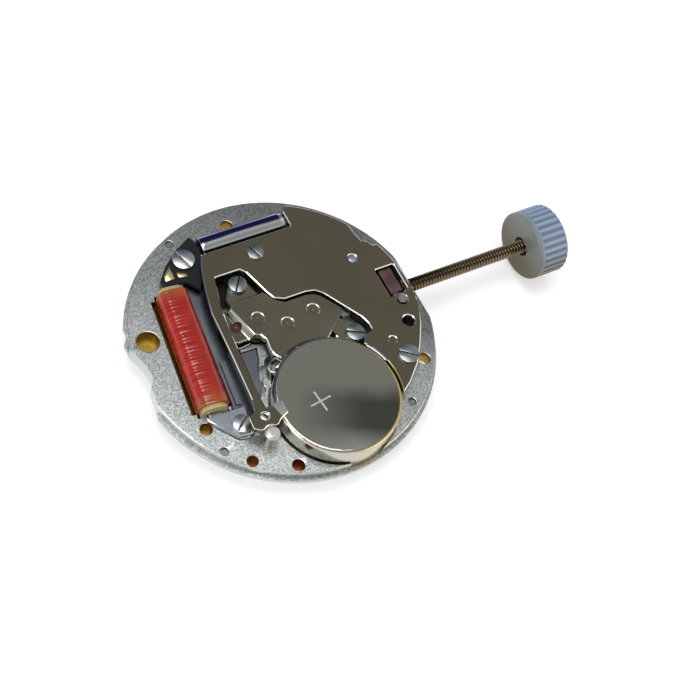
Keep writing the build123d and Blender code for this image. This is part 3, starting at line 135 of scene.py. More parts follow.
floor_gap = 0.02 * MM
floor_size = 1.2
floor_tone = (0.80, 0.80, 0.80, 1)
floor_lift = (0.44, 0.44, 0.44, 1)
fade_start = 24 * MM
fade_end = 70 * MM
bpy.ops.object.select_all(action="DESELECT")
bpy.ops.mesh.primitive_plane_add(size=floor_size, location=(0, 0, cad_low.z - floor_gap))
bpy.ops.object.transform_apply(location=True)
table = bpy.context.object
table.name = "table_top"
add, close = fresh_material("white_table")
rays = add("ShaderNodeLightPath")
seen = reckon(add, "MAXIMUM", rays.outputs["Is Camera Ray"], rays.outputs["Is Glossy Ray"])
seen = reckon(add, "MAXIMUM", seen, rays.outputs["Is Transmission Ray"])
matt = add("ShaderNodeBsdfDiffuse", {"Color": floor_tone})
lift = add("ShaderNodeEmission", {"Color": floor_lift})
both = add("ShaderNodeAddShader", {0: matt.outputs[0], 1: lift.outputs[0]})
spot = add("ShaderNodeTexCoord")
from_middle = add("ShaderNodeVectorMath", {0: spot.outputs["Object"]}, operation="LENGTH")
fade = add("ShaderNodeMapRange", {0: from_middle.outputs["Value"], 1: fade_start, 2: fade_end})
backdrop = add("ShaderNodeEmission", {"Color": (1, 1, 1, 1), "Strength": 1.0})
faded = add("ShaderNodeMixShader", {0: fade.outputs[0], 1: both.outputs[0],
                                    2: backdrop.outputs[0]})
table.data.materials.append(close(add(
    "ShaderNodeMixShader", {0: seen, 1: matt.outputs[0], 2: faded.outputs[0]})))


# Soft studio light: a cool sheet overhead, a long window on the coil's side, a warm low fill as
# from a wooden bench, and a pale room that polished metal sees duller overhead.
def ramp(add, factor, *stops):
    """A colour that a factor picks between stops, each with its share and its colour."""
    node = add("ShaderNodeValToRGB", {0: factor})
    for share, colour in stops[1:-1]:
        node.color_ramp.elements.new(share)
    for element, (share, colour) in zip(node.color_ramp.elements, stops):
        element.position = share
        element.color = (*colour, 1)
    return node.outputs[0]


def blend(add, factor, first, second, kind="RGBA"):
    """A colour, or with FLOAT a number, that a factor mixes from two."""
    return add("ShaderNodeMix", {"Factor": factor, "A": first, "B": second},
               data_type=kind).outputs["Result"]


world = bpy.data.worlds.new("studio")
bpy.context.scene.world = world
world.use_nodes = True
world.node_tree.nodes.clear()
add = adder(world.node_tree)
rays = add("ShaderNodeLightPath")
direction = add("ShaderNodeTexCoord")
height = add("ShaderNodeSeparateXYZ", {0: direction.outputs["Generated"]})
ceiling = ramp(add, height.outputs["Z"], (0.20, (1, 1, 1)), (0.80, (0.36, 0.36, 0.34)))
far_side = add("ShaderNodeMapRange", {0: height.outputs["Y"], 1: 0.44, 2: 0.62})
unlit = blend(add, far_side.outputs[0], ceiling, (0.10, 0.11, 0.20, 1))
backdrop = add("ShaderNodeBackground", {"Color": (1, 1, 1, 1)})
walls = add("ShaderNodeBackground", {"Color": (0.44, 0.45, 0.47, 1)})
mirrored = add("ShaderNodeBackground", {"Color": unlit})
soft = add("ShaderNodeMixShader", {0: rays.outputs["Is Glossy Ray"], 1: walls.outputs[0],
                                   2: mirrored.outputs[0]})
straight = reckon(add, "MAXIMUM", rays.outputs["Is Camera Ray"],
                  rays.outputs["Is Transmission Ray"])
whole = add("ShaderNodeMixShader", {0: straight, 1: soft.outputs[0], 2: backdrop.outputs[0]})
add("ShaderNodeOutputWorld", {"Surface": whole.outputs[0]})

light_aim = Vector((3, 0, 0)) * MM
for name, place, size, power, tint in (
    ("overhead_sheet", (-0.015, 0.022, 0.22), (0.13, 0.13), 0.20, (0.94, 0.97, 1.0)),
    ("window", (-0.21, -0.03, 0.10), (0.10, 0.18), 0.18, (1.0, 1.0, 0.98)),
    ("bench_fill", (0.14, -0.16, 0.03), (0.16, 0.06), 0.07, (1.0, 0.72, 0.42)),
):
    lamp_data = bpy.data.lights.new(name, "AREA")
    lamp_data.shape = "RECTANGLE"
    lamp_data.size, lamp_data.size_y = size
    lamp_data.energy = power
    lamp_data.color = tint
    lamp = bpy.data.objects.new(name, lamp_data)
    bpy.context.scene.collection.objects.link(lamp)
    lamp.location = place
    lamp.rotation_euler = (light_aim - Vector(place)).to_track_quat("-Z", "Y").to_euler()


# Main plate: a turned brass disc, sand-blasted and nickel-plated, with drilled holes and a milled
# coil slot whose walls show the brass. Everything else stands on it.
merge_distance = 0.0005 * MM
shortest_edge = 0.006 * MM
flat_angle = radians(0.6)
sharp_corner = radians(35)
level_slope = 0.99


def edit(piece):
    """Takes a piece into edit mode."""
    take(piece)
    bpy.ops.object.mode_set(mode="EDIT")


def pick(piece, kind, wanted):
    """Selects the wanted corners, edges or faces of the piece that is in edit mode."""
    bpy.ops.mesh.select_mode(type=kind)
    bpy.ops.mesh.select_all(action="DESELECT")
    mesh = bmesh.from_edit_mesh(piece.data)
    for part in {"VERT": mesh.verts, "EDGE": mesh.edges, "FACE": mesh.faces}[kind]:
        part.select_set(wanted(part))


def copy_of(node, name, *layers):
    """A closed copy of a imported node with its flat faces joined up, and its finishes."""
    piece = bpy.data.objects.new(name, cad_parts[node].data.copy())
    bpy.context.scene.collection.objects.link(piece)
    piece.data.materials.clear()
    for layer in layers:
        piece.data.materials.append(layer)
    take(piece)
    bpy.ops.mesh.customdata_custom_splitnormals_clear()
    bpy.ops.object.mode_set(mode="EDIT")
    bpy.ops.mesh.select_all(action="SELECT")
    bpy.ops.mesh.remove_doubles(threshold=merge_distance)
    bpy.ops.mesh.dissolve_limited(angle_limit=flat_angle)
    bpy.ops.object.mode_set(mode="OBJECT")
    return piece


def use_modifier(piece, kind, **settings):
    """Adds one modifier with its settings and applies it."""
    take(piece)
    modifier = piece.modifiers.new(kind.lower(), kind)
    for key, value in settings.items():
        setattr(modifier, key, value)
    bpy.ops.object.modifier_apply(modifier=modifier.name)


def smooth(piece, angle=30):
    """Shades a piece smooth between its sharp edges, with its flats kept flat."""
    take(piece)
    bpy.ops.object.shade_smooth_by_angle(angle=radians(angle))
    use_modifier(piece, "WEIGHTED_NORMAL", keep_sharp=True, weight=100)


def break_edges(piece, width, segments=2, finish=-1):
    """Rounds a piece's sharp edges by a width, in one of its finishes if that is given."""
    use_modifier(piece, "BEVEL", width=width, segments=segments, limit_method="ANGLE",
                 angle_limit=sharp_corner, material=finish)
    smooth(piece)


def bevel_rim(sheet, tops, width, drop):
    """Cuts a flat bevel, in the sheet's second finish, round its level faces at given heights."""
    edit(sheet)
    bpy.ops.mesh.select_all(action="SELECT")
    bpy.ops.mesh.remove_doubles(threshold=shortest_edge)
    pick(sheet, "FACE", lambda face: face.normal.z > level_slope and any(
        abs(face.calc_center_median().z - top) < shortest_edge for top in tops))
    bpy.ops.mesh.inset(thickness=width, use_even_offset=True, use_boundary=True)
    mesh = bmesh.from_edit_mesh(sheet.data)
    inner = {vert for face in mesh.faces if face.select for vert in face.verts}
    ring = {face for vert in inner for face in vert.link_faces if not face.select}
    outer = {vert for face in ring for vert in face.verts} - inner
    for face in ring:
        face.material_index = 1
    bpy.ops.mesh.select_all(action="DESELECT")
    bpy.ops.mesh.select_mode(type="VERT")
    for vert in outer:
        vert.select_set(True)
    bpy.ops.transform.translate(value=(0, 0, -drop))
    bpy.ops.object.mode_set(mode="OBJECT")
    smooth(sheet)


def fit(piece, body, node):
    """Lets a piece ride on its body and stand for its node."""
    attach(piece, body)
    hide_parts(node)


# Spots of painted shade on the plate: a painted shadow by the bridge's left screw, and a shaded
# patch by the right edge.
painted_shadow_corner = Vector((-2.75, 3.75, 1.55)) * MM
painted_shade_edge = Vector((9.30, -2.20, 1.0)) * MM
blast_grain = 0.075 * MM


def patchy(add, place, colour, share, scale):
    """A colour that is darker and lighter in soft patches, by a share of itself."""
    patches = add("ShaderNodeTexNoise", {"Vector": place, "Scale": scale, "Detail": 2.0})
    return ramp(add, patches.outputs["Fac"], (0.35, [c * (1 - share) for c in colour]),
                (0.65, [min(1, c * (1 + share)) for c in colour]))


def marked_metal(add, close, tint, marks, rough, depth, strength):
    """Closes a metal's material, with marks that make it rougher and stand up from it."""
    roughness = add("ShaderNodeMapRange", {0: marks.outputs["Fac"], 3: rough[0], 4: rough[1]})
    raised = add("ShaderNodeBump", {"Height": marks.outputs["Fac"], "Distance": depth,
                                    "Strength": strength})
    return close(add("ShaderNodeBsdfPrincipled", {
        "Base Color": tint, "Metallic": 1.0, "Roughness": roughness.outputs[0],
        "Normal": raised.outputs[0]}))


def blasted_metal(name, dark, light, roughness=0.40):
    """Sand-blasted plating: bright and dim grains under broad soft clouds of tone. Painted shade
    makes it darker towards the crown, with a painted shadow by the bridge's left screw and a
    painted shaded patch by the right edge."""
    add, close = fresh_material(name)
    place = add("ShaderNodeTexCoord").outputs["Object"]
    grains = add("ShaderNodeTexVoronoi", {"Vector": place, "Scale": 1 / blast_grain})
    glint = add("ShaderNodeSeparateColor", {0: grains.outputs["Color"]})
    fine = add("ShaderNodeTexNoise", {"Vector": place, "Scale": 0.6 / blast_grain,
                                      "Detail": 3.0, "Roughness": 0.7})
    broad = add("ShaderNodeTexNoise", {"Vector": place, "Scale": 180.0, "Detail": 2.0})
    tone = blend(add, 0.45, glint.outputs[0], fine.outputs["Fac"], "FLOAT")
    tone = blend(add, 0.25, tone, broad.outputs["Fac"], "FLOAT")
    colour = ramp(add, tone, (0.25, dark), (0.75, light))
    # Painted shade: the plating darkens across the plate towards the crown.
    turned = add("ShaderNodeMapping", {"Vector": place, "Rotation": (0, 0, radians(-55))})
    side = add("ShaderNodeSeparateXYZ", {0: turned.outputs[0]})
    painted_shade = add("ShaderNodeMapRange", {0: side.outputs["X"], 1: -9.0 * MM, 2: 8.5 * MM, 3: 1.0,
                                      4: 0.43}).outputs[0]
    for middle, start, end, least in ((painted_shadow_corner, 1.15 * MM, 1.52 * MM, 0.06),
                                      (painted_shade_edge, 1.0 * MM, 4.0 * MM, 0.60)):
        away = add("ShaderNodeVectorMath", {0: place, 1: middle}, operation="DISTANCE")
        unshaded = add("ShaderNodeMapRange", {0: away.outputs["Value"], 1: start, 2: end, 3: least,
                                           4: 1.0})
        painted_shade = reckon(add, "MULTIPLY", painted_shade, unshaded.outputs[0])
    shade = add("ShaderNodeVectorMath", {0: colour, "Scale": painted_shade}, operation="SCALE")
    rough = add("ShaderNodeMapRange", {0: fine.outputs["Fac"], 3: roughness - 0.10,
                                       4: roughness + 0.12})
    raised = add("ShaderNodeBump", {"Height": tone, "Distance": 0.012 * MM, "Strength": 0.35})
    return close(add("ShaderNodeBsdfPrincipled", {
        "Base Color": shade.outputs[0], "Metallic": 1.0, "Roughness": rough.outputs[0],
        "Normal": raised.outputs[0]}))


def polished_metal(name, colour, roughness=0.14, streak=(1, 1, 1), depth=0.06, wear=0.08,
                   patch=260.0):
    """Polished or brushed metal, with fine marks drawn out by its streak and patches of tone."""
    add, close = fresh_material(name)
    place = add("ShaderNodeTexCoord").outputs["Object"]
    drawn = add("ShaderNodeMapping", {"Vector": place, "Scale": streak})
    marks = add("ShaderNodeTexNoise", {"Vector": drawn.outputs[0], "Scale": 9000.0,
                                       "Detail": 4.0, "Roughness": 0.65})
    return marked_metal(add, close, patchy(add, place, colour, wear, patch), marks,
                        (roughness * 0.75, roughness * 1.35), 0.004 * MM, depth)


def drilled_brass(name, yellow, red):
    """Brass laid bare by the drill: yellow at the quartz side, and redder at the far side as a
    painted warm reflection of the bench.
    """
    add, close = fresh_material(name)
    place = add("ShaderNodeTexCoord").outputs["Object"]
    side = add("ShaderNodeSeparateXYZ", {0: place})
    # Painted reflection: the walls grow redder away from the quartz, as from the warm bench
    # below.
    bench_reflection = add("ShaderNodeMapRange", {0: side.outputs["Y"], 1: -4.2 * MM, 2: -7.6 * MM})
    tone = blend(add, bench_reflection.outputs[0], (*yellow, 1), (*red, 1))
    turned = add("ShaderNodeTexNoise", {"Vector": place, "Scale": 3000.0, "Detail": 2.0})
    return marked_metal(add, close, tone, turned, (0.22, 0.42), 0.004 * MM, 0.15)


blasted_nickel = blasted_metal("blasted_nickel", (0.29, 0.305, 0.295), (0.83, 0.87, 0.84))
bare_brass = drilled_brass("bare_brass", (0.46, 0.31, 0.07), (0.34, 0.125, 0.05))
shaded_brass = polished_metal("shaded_brass", (0.20, 0.12, 0.035), roughness=0.38, wear=0.3)
turned_rim = polished_metal("turned_rim", (0.50, 0.51, 0.49), roughness=0.22)
# Painted shade in the dimples: their walls are painted darker than the plate.
painted_dimple_shade = polished_metal("painted_dimple_shade", (0.30, 0.31, 0.30), roughness=0.3)
plate_holes = ((-8.20, 2.30, 0.70), (-0.02, 8.26, 0.40), (7.40, -5.00, 0.40),
               (-7.47, -4.29, 0.375), (-3.42, -8.47, 0.375), (-5.85, -7.20, 0.375))
plate_dimples = ((-7.10, -6.00, 0.25), (5.15, -7.35, 0.25), (-4.05, 8.25, 0.25),
                 (-3.20, -3.10, 0.25))
bore_play = 0.02 * MM
thin_wall = Vector((-6.085, -7.490)) * MM
thin_wall_reach = 0.05 * MM
thin_wall_foot = 0.2 * MM
slit_width = 0.09 * MM
rim_play = 0.01 * MM
rim_width = 0.055 * MM
coil_foot = Vector((-6.60, -3.35)) * MM
coil_top = Vector((-5.63, 4.60)) * MM
coil_way = coil_top - coil_foot
slot_reach = 1.32 * MM
slot_end = 0.32 * MM
plate_top = 1.0 * MM
plate_face = 0.99 * MM
floor_slope = 0.9
blasted, bored, turned_side, shaded, dimple_shaded = range(5)


def in_coil_slot(spot):
    """Whether a spot of the plan is in the slot under the coil."""
    along = coil_way.normalized()
    way = spot - coil_foot
    reach = way.dot(along)
    return abs(way.cross(along)) < slot_reach and -slot_end < reach < coil_way.length + slot_end


def in_bore(face, bores):
    """Whether a face is the wall or the floor of one of the given bores of the plate."""
    for x, y, radius in bores:
        inward = Vector((x, y)) * MM - face.center.xy
        if inward.length < radius * MM + bore_play:
            return face.normal.z > floor_slope or inward.dot(face.normal.xy) > 0
    return False


plate = copy_of("main_plate", "main_plate_nickel", blasted_nickel, bare_brass, turned_rim,
                shaded_brass, painted_dimple_shade)
for face in plate.data.polygons:
    if face.normal.z < -0.5:
        face.material_index = blasted
    elif face.center.z < plate_face and in_bore(face, plate_holes):
        face.material_index = bored
    elif face.center.z < plate_face and in_bore(face, plate_dimples):
        face.material_index = dimple_shaded
    elif face.center.z < plate_face and in_coil_slot(face.center.xy):
        face.material_index = shaded
    elif abs(face.normal.z) < 0.5:
        face.material_index = turned_side
# The last hole touches the disc's edge: its slit is closed, and its rim stays as it is.
edit(plate)
pick(plate, "VERT", lambda vert: vert.co.z > thin_wall_foot
     and (vert.co.xy - thin_wall).length < thin_wall_reach)
bpy.ops.mesh.remove_doubles(threshold=slit_width)
for x, y, radius in plate_holes[:-1] + plate_dimples:
    pick(plate, "EDGE", lambda edge: all(
        abs(vert.co.z - plate_top) < shortest_edge
        and abs(hypot(vert.co.x - x * MM, vert.co.y - y * MM) - radius * MM) < rim_play
        for vert in edge.verts))
    bpy.ops.mesh.bevel(offset=rim_width, segments=2, loop_slide=False, clamp_overlap=True,
                       material=turned_side)
bpy.ops.object.mode_set(mode="OBJECT")
smooth(plate)
fit(plate, "frame", "main_plate")

# Stator: a stamped strip of soft iron that carries the coil's field to the rotor, with a rolled
# rib. It is satin, with sheared edges that a painted highlight makes bright.
stamped_iron = polished_metal("stamped_iron", (0.27, 0.29, 0.33), roughness=0.22, wear=0.2,
                              patch=400.0, depth=0.05)
# Sheared edges: bare cut metal, made brighter still as a painted highlight.
sheared_edge_highlight = polished_metal("sheared_edge_highlight", (0.88, 0.88, 0.86), roughness=0.16)
stator_top = 1.05 * MM
stator_rim, stator_rim_drop = 0.055 * MM, 0.035 * MM
stator = copy_of("stator", "stator_strip", stamped_iron, sheared_edge_highlight)
bevel_rim(stator, (stator_top,), stator_rim, stator_rim_drop)
fit(stator, "frame", "stator")


# Rotor: a round sintered magnet on a steel shaft with its pinion, and the jewel that carries its
# upper pivot in the bridge's lug.
def moulded(name, colour, roughness=0.45, grain=0.08, coat=0.0, gloss=0.5, uneven=0.10):
    """Moulded, sintered or lacquered stuff: slightly uneven colour under a fine skin."""
    add, close = fresh_material(name)
    place = add("ShaderNodeTexCoord").outputs["Object"]
    tint = patchy(add, place, colour, uneven, 350.0)
    skin = add("ShaderNodeTexNoise", {"Vector": place, "Scale": 1 / (grain * MM), "Detail": 3.0})
    rough = add("ShaderNodeMapRange", {0: skin.outputs["Fac"], 3: roughness - 0.08,
                                       4: roughness + 0.08})
    raised = add("ShaderNodeBump", {"Height": skin.outputs["Fac"], "Distance": 0.01 * MM,
                                    "Strength": 0.15})
    return close(add("ShaderNodeBsdfPrincipled", {
        "Base Color": tint, "Roughness": rough.outputs[0], "Coat Weight": coat,
        "Coat Roughness": 0.08, "Specular IOR Level": gloss, "Normal": raised.outputs[0]}))


def dress(node, material):
    """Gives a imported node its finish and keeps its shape."""
    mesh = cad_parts[node].data
    mesh.materials.clear()
    mesh.materials.append(material)


dress("rotor_magnet", moulded("sintered_magnet", (0.09, 0.09, 0.10), roughness=0.5, grain=0.03))
dress("rotor_shaft", polished_metal("rotor_steel", (0.60, 0.60, 0.62)))
dress("rotor_jewel", moulded("ruby", (0.055, 0.010, 0.014), roughness=0.12, coat=0.9))

# Going train: gilt brass wheels with crossed-out spokes on steel arbors, under the train bridge.
# The motor turns them step by step.
gilt = (0.72, 0.54, 0.20)
for node in ("intermediate_wheel", "seconds_wheel", "third_wheel", "driving_wheel"):
    dress(node, polished_metal("gilt_" + node, gilt, roughness=0.24, wear=0.12))

# Motion works on the dial side: the cannon pinion and the minute and hour wheels carry the hands
# round the centre tube, and two steel wheels let the stem set them.
dress("centre_tube", polished_metal("tube_brass", (0.70, 0.54, 0.24), roughness=0.2))
dress("cannon_pinion", polished_metal("cannon_steel", (0.56, 0.56, 0.58), roughness=0.18))
for node in ("minute_wheel", "hour_wheel"):
    dress(node, polished_metal("gilt_" + node, gilt, roughness=0.24))
dress("setting_idler", polished_metal("idler_steel", (0.50, 0.51, 0.52), roughness=0.24))
dress("setting_wheel", polished_metal("setting_steel", (0.50, 0.51, 0.52), roughness=0.24))
dress("dial_side_bridge", blasted_metal("dial_bridge_nickel", (0.30, 0.31, 0.30),
                                        (0.66, 0.68, 0.65), roughness=0.34))
dress("dial_bridge_screws", polished_metal("dial_screw_steel", (0.52, 0.55, 0.58)))

# Coil: fine wire wound on the core between two cheeks and drowned in red lacquer, which still
# shows each turn of the top layer as a ridge. It is browner at both ends.
coil_length = 8.009 * MM
coil_width = 2.00 * MM
coil_height = 1.90 * MM
coil_low = 0.25 * MM
coil_corner = 0.62 * MM
coil_middle = (coil_foot + coil_top) / 2
coil_turn = atan2(coil_way.y, coil_way.x)
wire_turns = 36
rings_a_turn = 4
ridge_share = 0.040
lacquer_thinning = 0.006


def lengthwise(edge):
    """Whether an edge of the winding runs along the coil."""
    return abs(edge.verts[0].co.x - edge.verts[1].co.x) > coil_length / 2


bpy.ops.object.select_all(action="DESELECT")
bpy.ops.mesh.primitive_cube_add(size=1)
winding = bpy.context.object
winding.name = "coil_winding_lacquered"
bpy.ops.object.mode_set(mode="EDIT")
bpy.ops.transform.resize(value=(coil_length, coil_width, coil_height))
pick(winding, "EDGE", lengthwise)
bpy.ops.mesh.bevel(offset=coil_corner, segments=6)
pick(winding, "EDGE", lengthwise)
ring_count = rings_a_turn * wire_turns
bpy.ops.mesh.subdivide(number_cuts=ring_count - 1)
bpy.ops.object.mode_set(mode="OBJECT")
lacquer = random.Random(7)
turn_size = [ridge_share * lacquer.uniform(0.55, 1.0) for turn in range(wire_turns + 1)]
ring_size = []
for ring in range(ring_count + 1):
    turn, step = divmod(ring, rings_a_turn)
    ridge = turn_size[turn] * sin(tau / 2 * step / rings_a_turn)
    ring_size.append(1 + ridge + lacquer.uniform(-lacquer_thinning, lacquer_thinning) / 2)
largest_ring = max(ring_size)
for vert in winding.data.vertices:
    ring = round((vert.co.x / coil_length + 0.5) * ring_count)
    share = ring_size[ring] / largest_ring
    vert.co.y *= share
    vert.co.z *= share
winding.location = (*coil_middle, coil_low + coil_height / 2)
winding.rotation_euler = (0, 0, coil_turn)
take(winding)
bpy.ops.object.transform_apply(location=True, rotation=True, scale=True)
smooth(winding, angle=50)

add, close = fresh_material("red_lacquer")
place = add("ShaderNodeTexCoord").outputs["Object"]
turned = add("ShaderNodeMapping", {"Vector": place, "Rotation": (0, 0, -coil_turn)})
along = add("ShaderNodeSeparateXYZ", {0: turned.outputs[0]})
middle_along = (Matrix.Rotation(-coil_turn, 2) @ coil_middle).x
from_middle = reckon(add, "ABSOLUTE", reckon(add, "SUBTRACT", along.outputs["X"], middle_along))
blotch = add("ShaderNodeTexNoise", {"Vector": place, "Scale": 700.0, "Detail": 3.0})
end_place = reckon(add, "MULTIPLY_ADD", blotch.outputs["Fac"], 1.6 * MM, from_middle)
end_share = add("ShaderNodeMapRange", {0: end_place, 1: 3.9 * MM, 2: 4.9 * MM})
red = ramp(add, blotch.outputs["Fac"], (0.35, (0.34, 0.008, 0.003)), (0.70, (0.47, 0.022, 0.006)))
colour = blend(add, end_share.outputs[0], red, (0.36, 0.085, 0.020, 1))
strands = add("ShaderNodeMapping", {"Vector": turned.outputs[0], "Scale": (1, 0.06, 0.06)})
wires = add("ShaderNodeTexNoise", {"Vector": strands.outputs[0], "Scale": 12000.0,
                                   "Detail": 2.0})
raised = add("ShaderNodeBump", {"Height": wires.outputs["Fac"], "Distance": 0.02 * MM,
                                "Strength": 0.35})
winding.data.materials.append(close(add("ShaderNodeBsdfPrincipled", {
    "Base Color": colour, "Roughness": 0.22, "Specular IOR Level": 0.30, "Coat Weight": 0.75,
    "Coat Roughness": 0.04, "Normal": raised.outputs[0]})))
fit(winding, "frame", "coil_winding")

# Cheeks of the coil: two rings moulded in cream plastic. They are pushed on the core at both ends
# of the winding and hold its wire together.
cream = moulded("cream_cheek", (0.50, 0.41, 0.17), coat=0.3, roughness=0.35, uneven=0.2)
cheek_round = 0.06 * MM
cheeks = copy_of("coil_cheeks", "coil_cheeks_moulded", cream)
break_edges(cheeks, cheek_round, segments=3)
fit(cheeks, "frame", "coil_cheeks")

# Coil core: a bar of soft iron with a blade at each end, screwed down on the stator. Its lower
# blade shows a bluish satin face and a sheared edge, bright with a painted highlight.
satin_iron = polished_metal("satin_iron", (0.40, 0.43, 0.50), roughness=0.24, wear=0.18,
                            patch=700.0, depth=0.10)
blade_top = 1.35 * MM
blade_rim, blade_rim_drop = 0.07 * MM, 0.05 * MM
core = copy_of("coil_core", "coil_core_blades", satin_iron, sheared_edge_highlight)
bevel_rim(core, (blade_top,), blade_rim, blade_rim_drop)
fit(core, "frame", "coil_core")

# Terminal board of the coil: black laminate under the top screw, with two gilt pads that the
# ends of the wire are soldered to.
board_round = 0.05 * MM
pad_round = 0.02 * MM
laminate = moulded("black_laminate", (0.010, 0.011, 0.010), roughness=0.5, gloss=0.25)
board = copy_of("coil_terminal_board", "terminal_board_black", laminate)
break_edges(board, board_round, segments=3)
fit(board, "frame", "coil_terminal_board")
gilt_pad = polished_metal("gilt_pad", (0.78, 0.66, 0.34), roughness=0.24, wear=0.2)
tabs = copy_of("coil_contact_tabs", "contact_tabs_gilt", gilt_pad)
break_edges(tabs, pad_round)
fit(tabs, "frame", "coil_contact_tabs")

# Slotted screws: turned steel with brushed, slightly blued heads. They hold the coil, the train
# bridge and the cover.
slot_dark = moulded("slot_shadow", (0.02, 0.02, 0.022), roughness=0.6, gloss=0.2)
head_edge = 0.08 * MM
head_play = 0.02 * MM
head_round = 0.025 * MM
deep_slot, shallow_slot = 0.09 * MM, 0.05 * MM


def dress_screws(screws, heads, slot_depth, colour, streak):
    """Breaks the edges of a pair of screws and darkens what is inside their slots."""
    name = screws + "_brushed"
    brushed = polished_metal(name + "_steel", colour, roughness=0.26, streak=streak, depth=0.2,
                             wear=0.15, patch=1500.0)
    piece = copy_of(screws, name, brushed, sheared_edge_highlight, slot_dark)
    for face in piece.data.polygons:
        for x, y, radius, top in heads:
            from_axis = hypot(face.center.x - x * MM, face.center.y - y * MM)
            depth = top * MM - face.center.z
            if (from_axis < radius * MM - head_edge
                    and head_play < depth < slot_depth + head_play):
                face.material_index = 2
    break_edges(piece, head_round, finish=1)
    fit(piece, "frame", screws)


dress_screws("coil_screws", ((-4.00, 6.48, 0.70, 1.84), (-5.50, -4.95, 0.60, 1.59)),
             deep_slot, (0.50, 0.51, 0.50), (0.3, 1, 1))
dress_screws("bridge_screws", ((-1.60, 3.68, 0.58, 1.79), (3.80, -2.03, 0.58, 1.79)),
             deep_slot, (0.30, 0.33, 0.34), (1, 0.3, 1))
dress_screws("cover_screws", ((0.32, 5.22, 0.52, 2.22), (6.03, -4.78, 0.66, 2.22)),
             shallow_slot, (0.34, 0.365, 0.365), (0.3, 1, 1))

# Button cell: a drawn and polished steel can, crimped over a nylon seal and a cap on its hidden
# side. A plain plus mark is stamped in its top.
cell_middle = Vector((0.455, -5.682)) * MM
cell_radius = 3.95 * MM
cell_top = 2.40 * MM
cell_flat = 3.5 * MM
side_slope = 0.985
crimp_height = 1.42 * MM
crimp_half = 0.05 * MM
crimp_depth = 0.035 * MM
# Painted reflection on the cell's top: a bright lower edge and a dark band, plain steel
# elsewhere.
painted_highlight_steel = (0.60, 0.62, 0.60)
plain_steel = (0.42, 0.42, 0.385)
painted_dark_steel = (0.13, 0.13, 0.115)


def reflection_painted_steel(name):
    """Polished steel with a painted reflection: a dark band over a bright lower edge."""
    add, close = fresh_material(name)
    place = add("ShaderNodeTexCoord").outputs["Object"]
    cloud = add("ShaderNodeTexNoise", {"Vector": place, "Scale": 300.0, "Detail": 3.0})
    centred = add("ShaderNodeVectorMath", {0: place, 1: (*cell_middle, 0)}, operation="SUBTRACT")
    turned = add("ShaderNodeMapping", {
        "Vector": centred.outputs[0], "Rotation": (0, 0, radians(22)),
        "Scale": [1 / cell_radius] * 3})
    spot = add("ShaderNodeSeparateXYZ", {0: turned.outputs[0]})
    drift = reckon(add, "SUBTRACT", cloud.outputs["Fac"], 0.5)
    rise = reckon(add, "MULTIPLY_ADD", drift, 0.35, spot.outputs["Y"])
    level = add("ShaderNodeMapRange", {0: rise, 1: -1.0, 2: 1.0})
    band = ramp(add, level.outputs[0], (0.06, painted_highlight_steel), (0.24, painted_dark_steel),
                (0.44, painted_dark_steel), (0.60, plain_steel))
    side = add("ShaderNodeMapRange", {0: spot.outputs["X"], 1: -0.75, 2: 0.35})
    tint = blend(add, side.outputs[0], (*plain_steel, 1), band)
    marks = add("ShaderNodeTexNoise", {"Vector": place, "Scale": 7000.0, "Detail": 4.0})
    return marked_metal(add, close, tint, marks, (0.09, 0.17), 0.004 * MM, 0.08)


def warm_reflection_side(name):
    """The cell's drawn side: bright steel with a painted warm reflection, yellow towards the
    crown.
    """
    add, close = fresh_material(name)
    place = add("ShaderNodeTexCoord").outputs["Object"]
    spot = add("ShaderNodeSeparateXYZ", {0: place})
    # Painted reflection: the side turns yellow towards the crown.
    warm_side_reflection = add("ShaderNodeMapRange", {0: spot.outputs["X"], 1: -1.0 * MM, 2: 3.6 * MM})
    tint = blend(add, warm_side_reflection.outputs[0], (0.50, 0.475, 0.41, 1), (0.52, 0.41, 0.13, 1))
    drawn = add("ShaderNodeMapping", {"Vector": place, "Scale": (0.05, 0.05, 1)})
    marks = add("ShaderNodeTexNoise", {"Vector": drawn.outputs[0], "Scale": 9000.0,
                                       "Detail": 3.0})
    return marked_metal(add, close, tint, marks, (0.12, 0.24), 0.006 * MM, 0.25)


can = copy_of("battery_can", "cell_can_stamped", reflection_painted_steel("cell_steel"),
              warm_reflection_side("cell_side"))
edit(can)
for height in (crimp_height - crimp_half, crimp_height, crimp_height + crimp_half):
    bpy.ops.mesh.select_all(action="SELECT")
    bpy.ops.mesh.bisect(plane_co=(0, 0, height), plane_no=(0, 0, 1))
pick(can, "VERT", lambda vert: abs(vert.co.z - crimp_height) < crimp_half / 2
     and (vert.co.xy - cell_middle).length > cell_radius - crimp_depth)
groove_share = (cell_radius - crimp_depth) / cell_radius
bpy.ops.transform.resize(value=(groove_share, groove_share, 1),
                         center_override=(*cell_middle, 0))
bpy.ops.object.mode_set(mode="OBJECT")
for face in can.data.polygons:
    from_axis = (face.center.xy - cell_middle).length
    if abs(face.normal.z) < side_slope and from_axis > cell_flat:
        face.material_index = 1

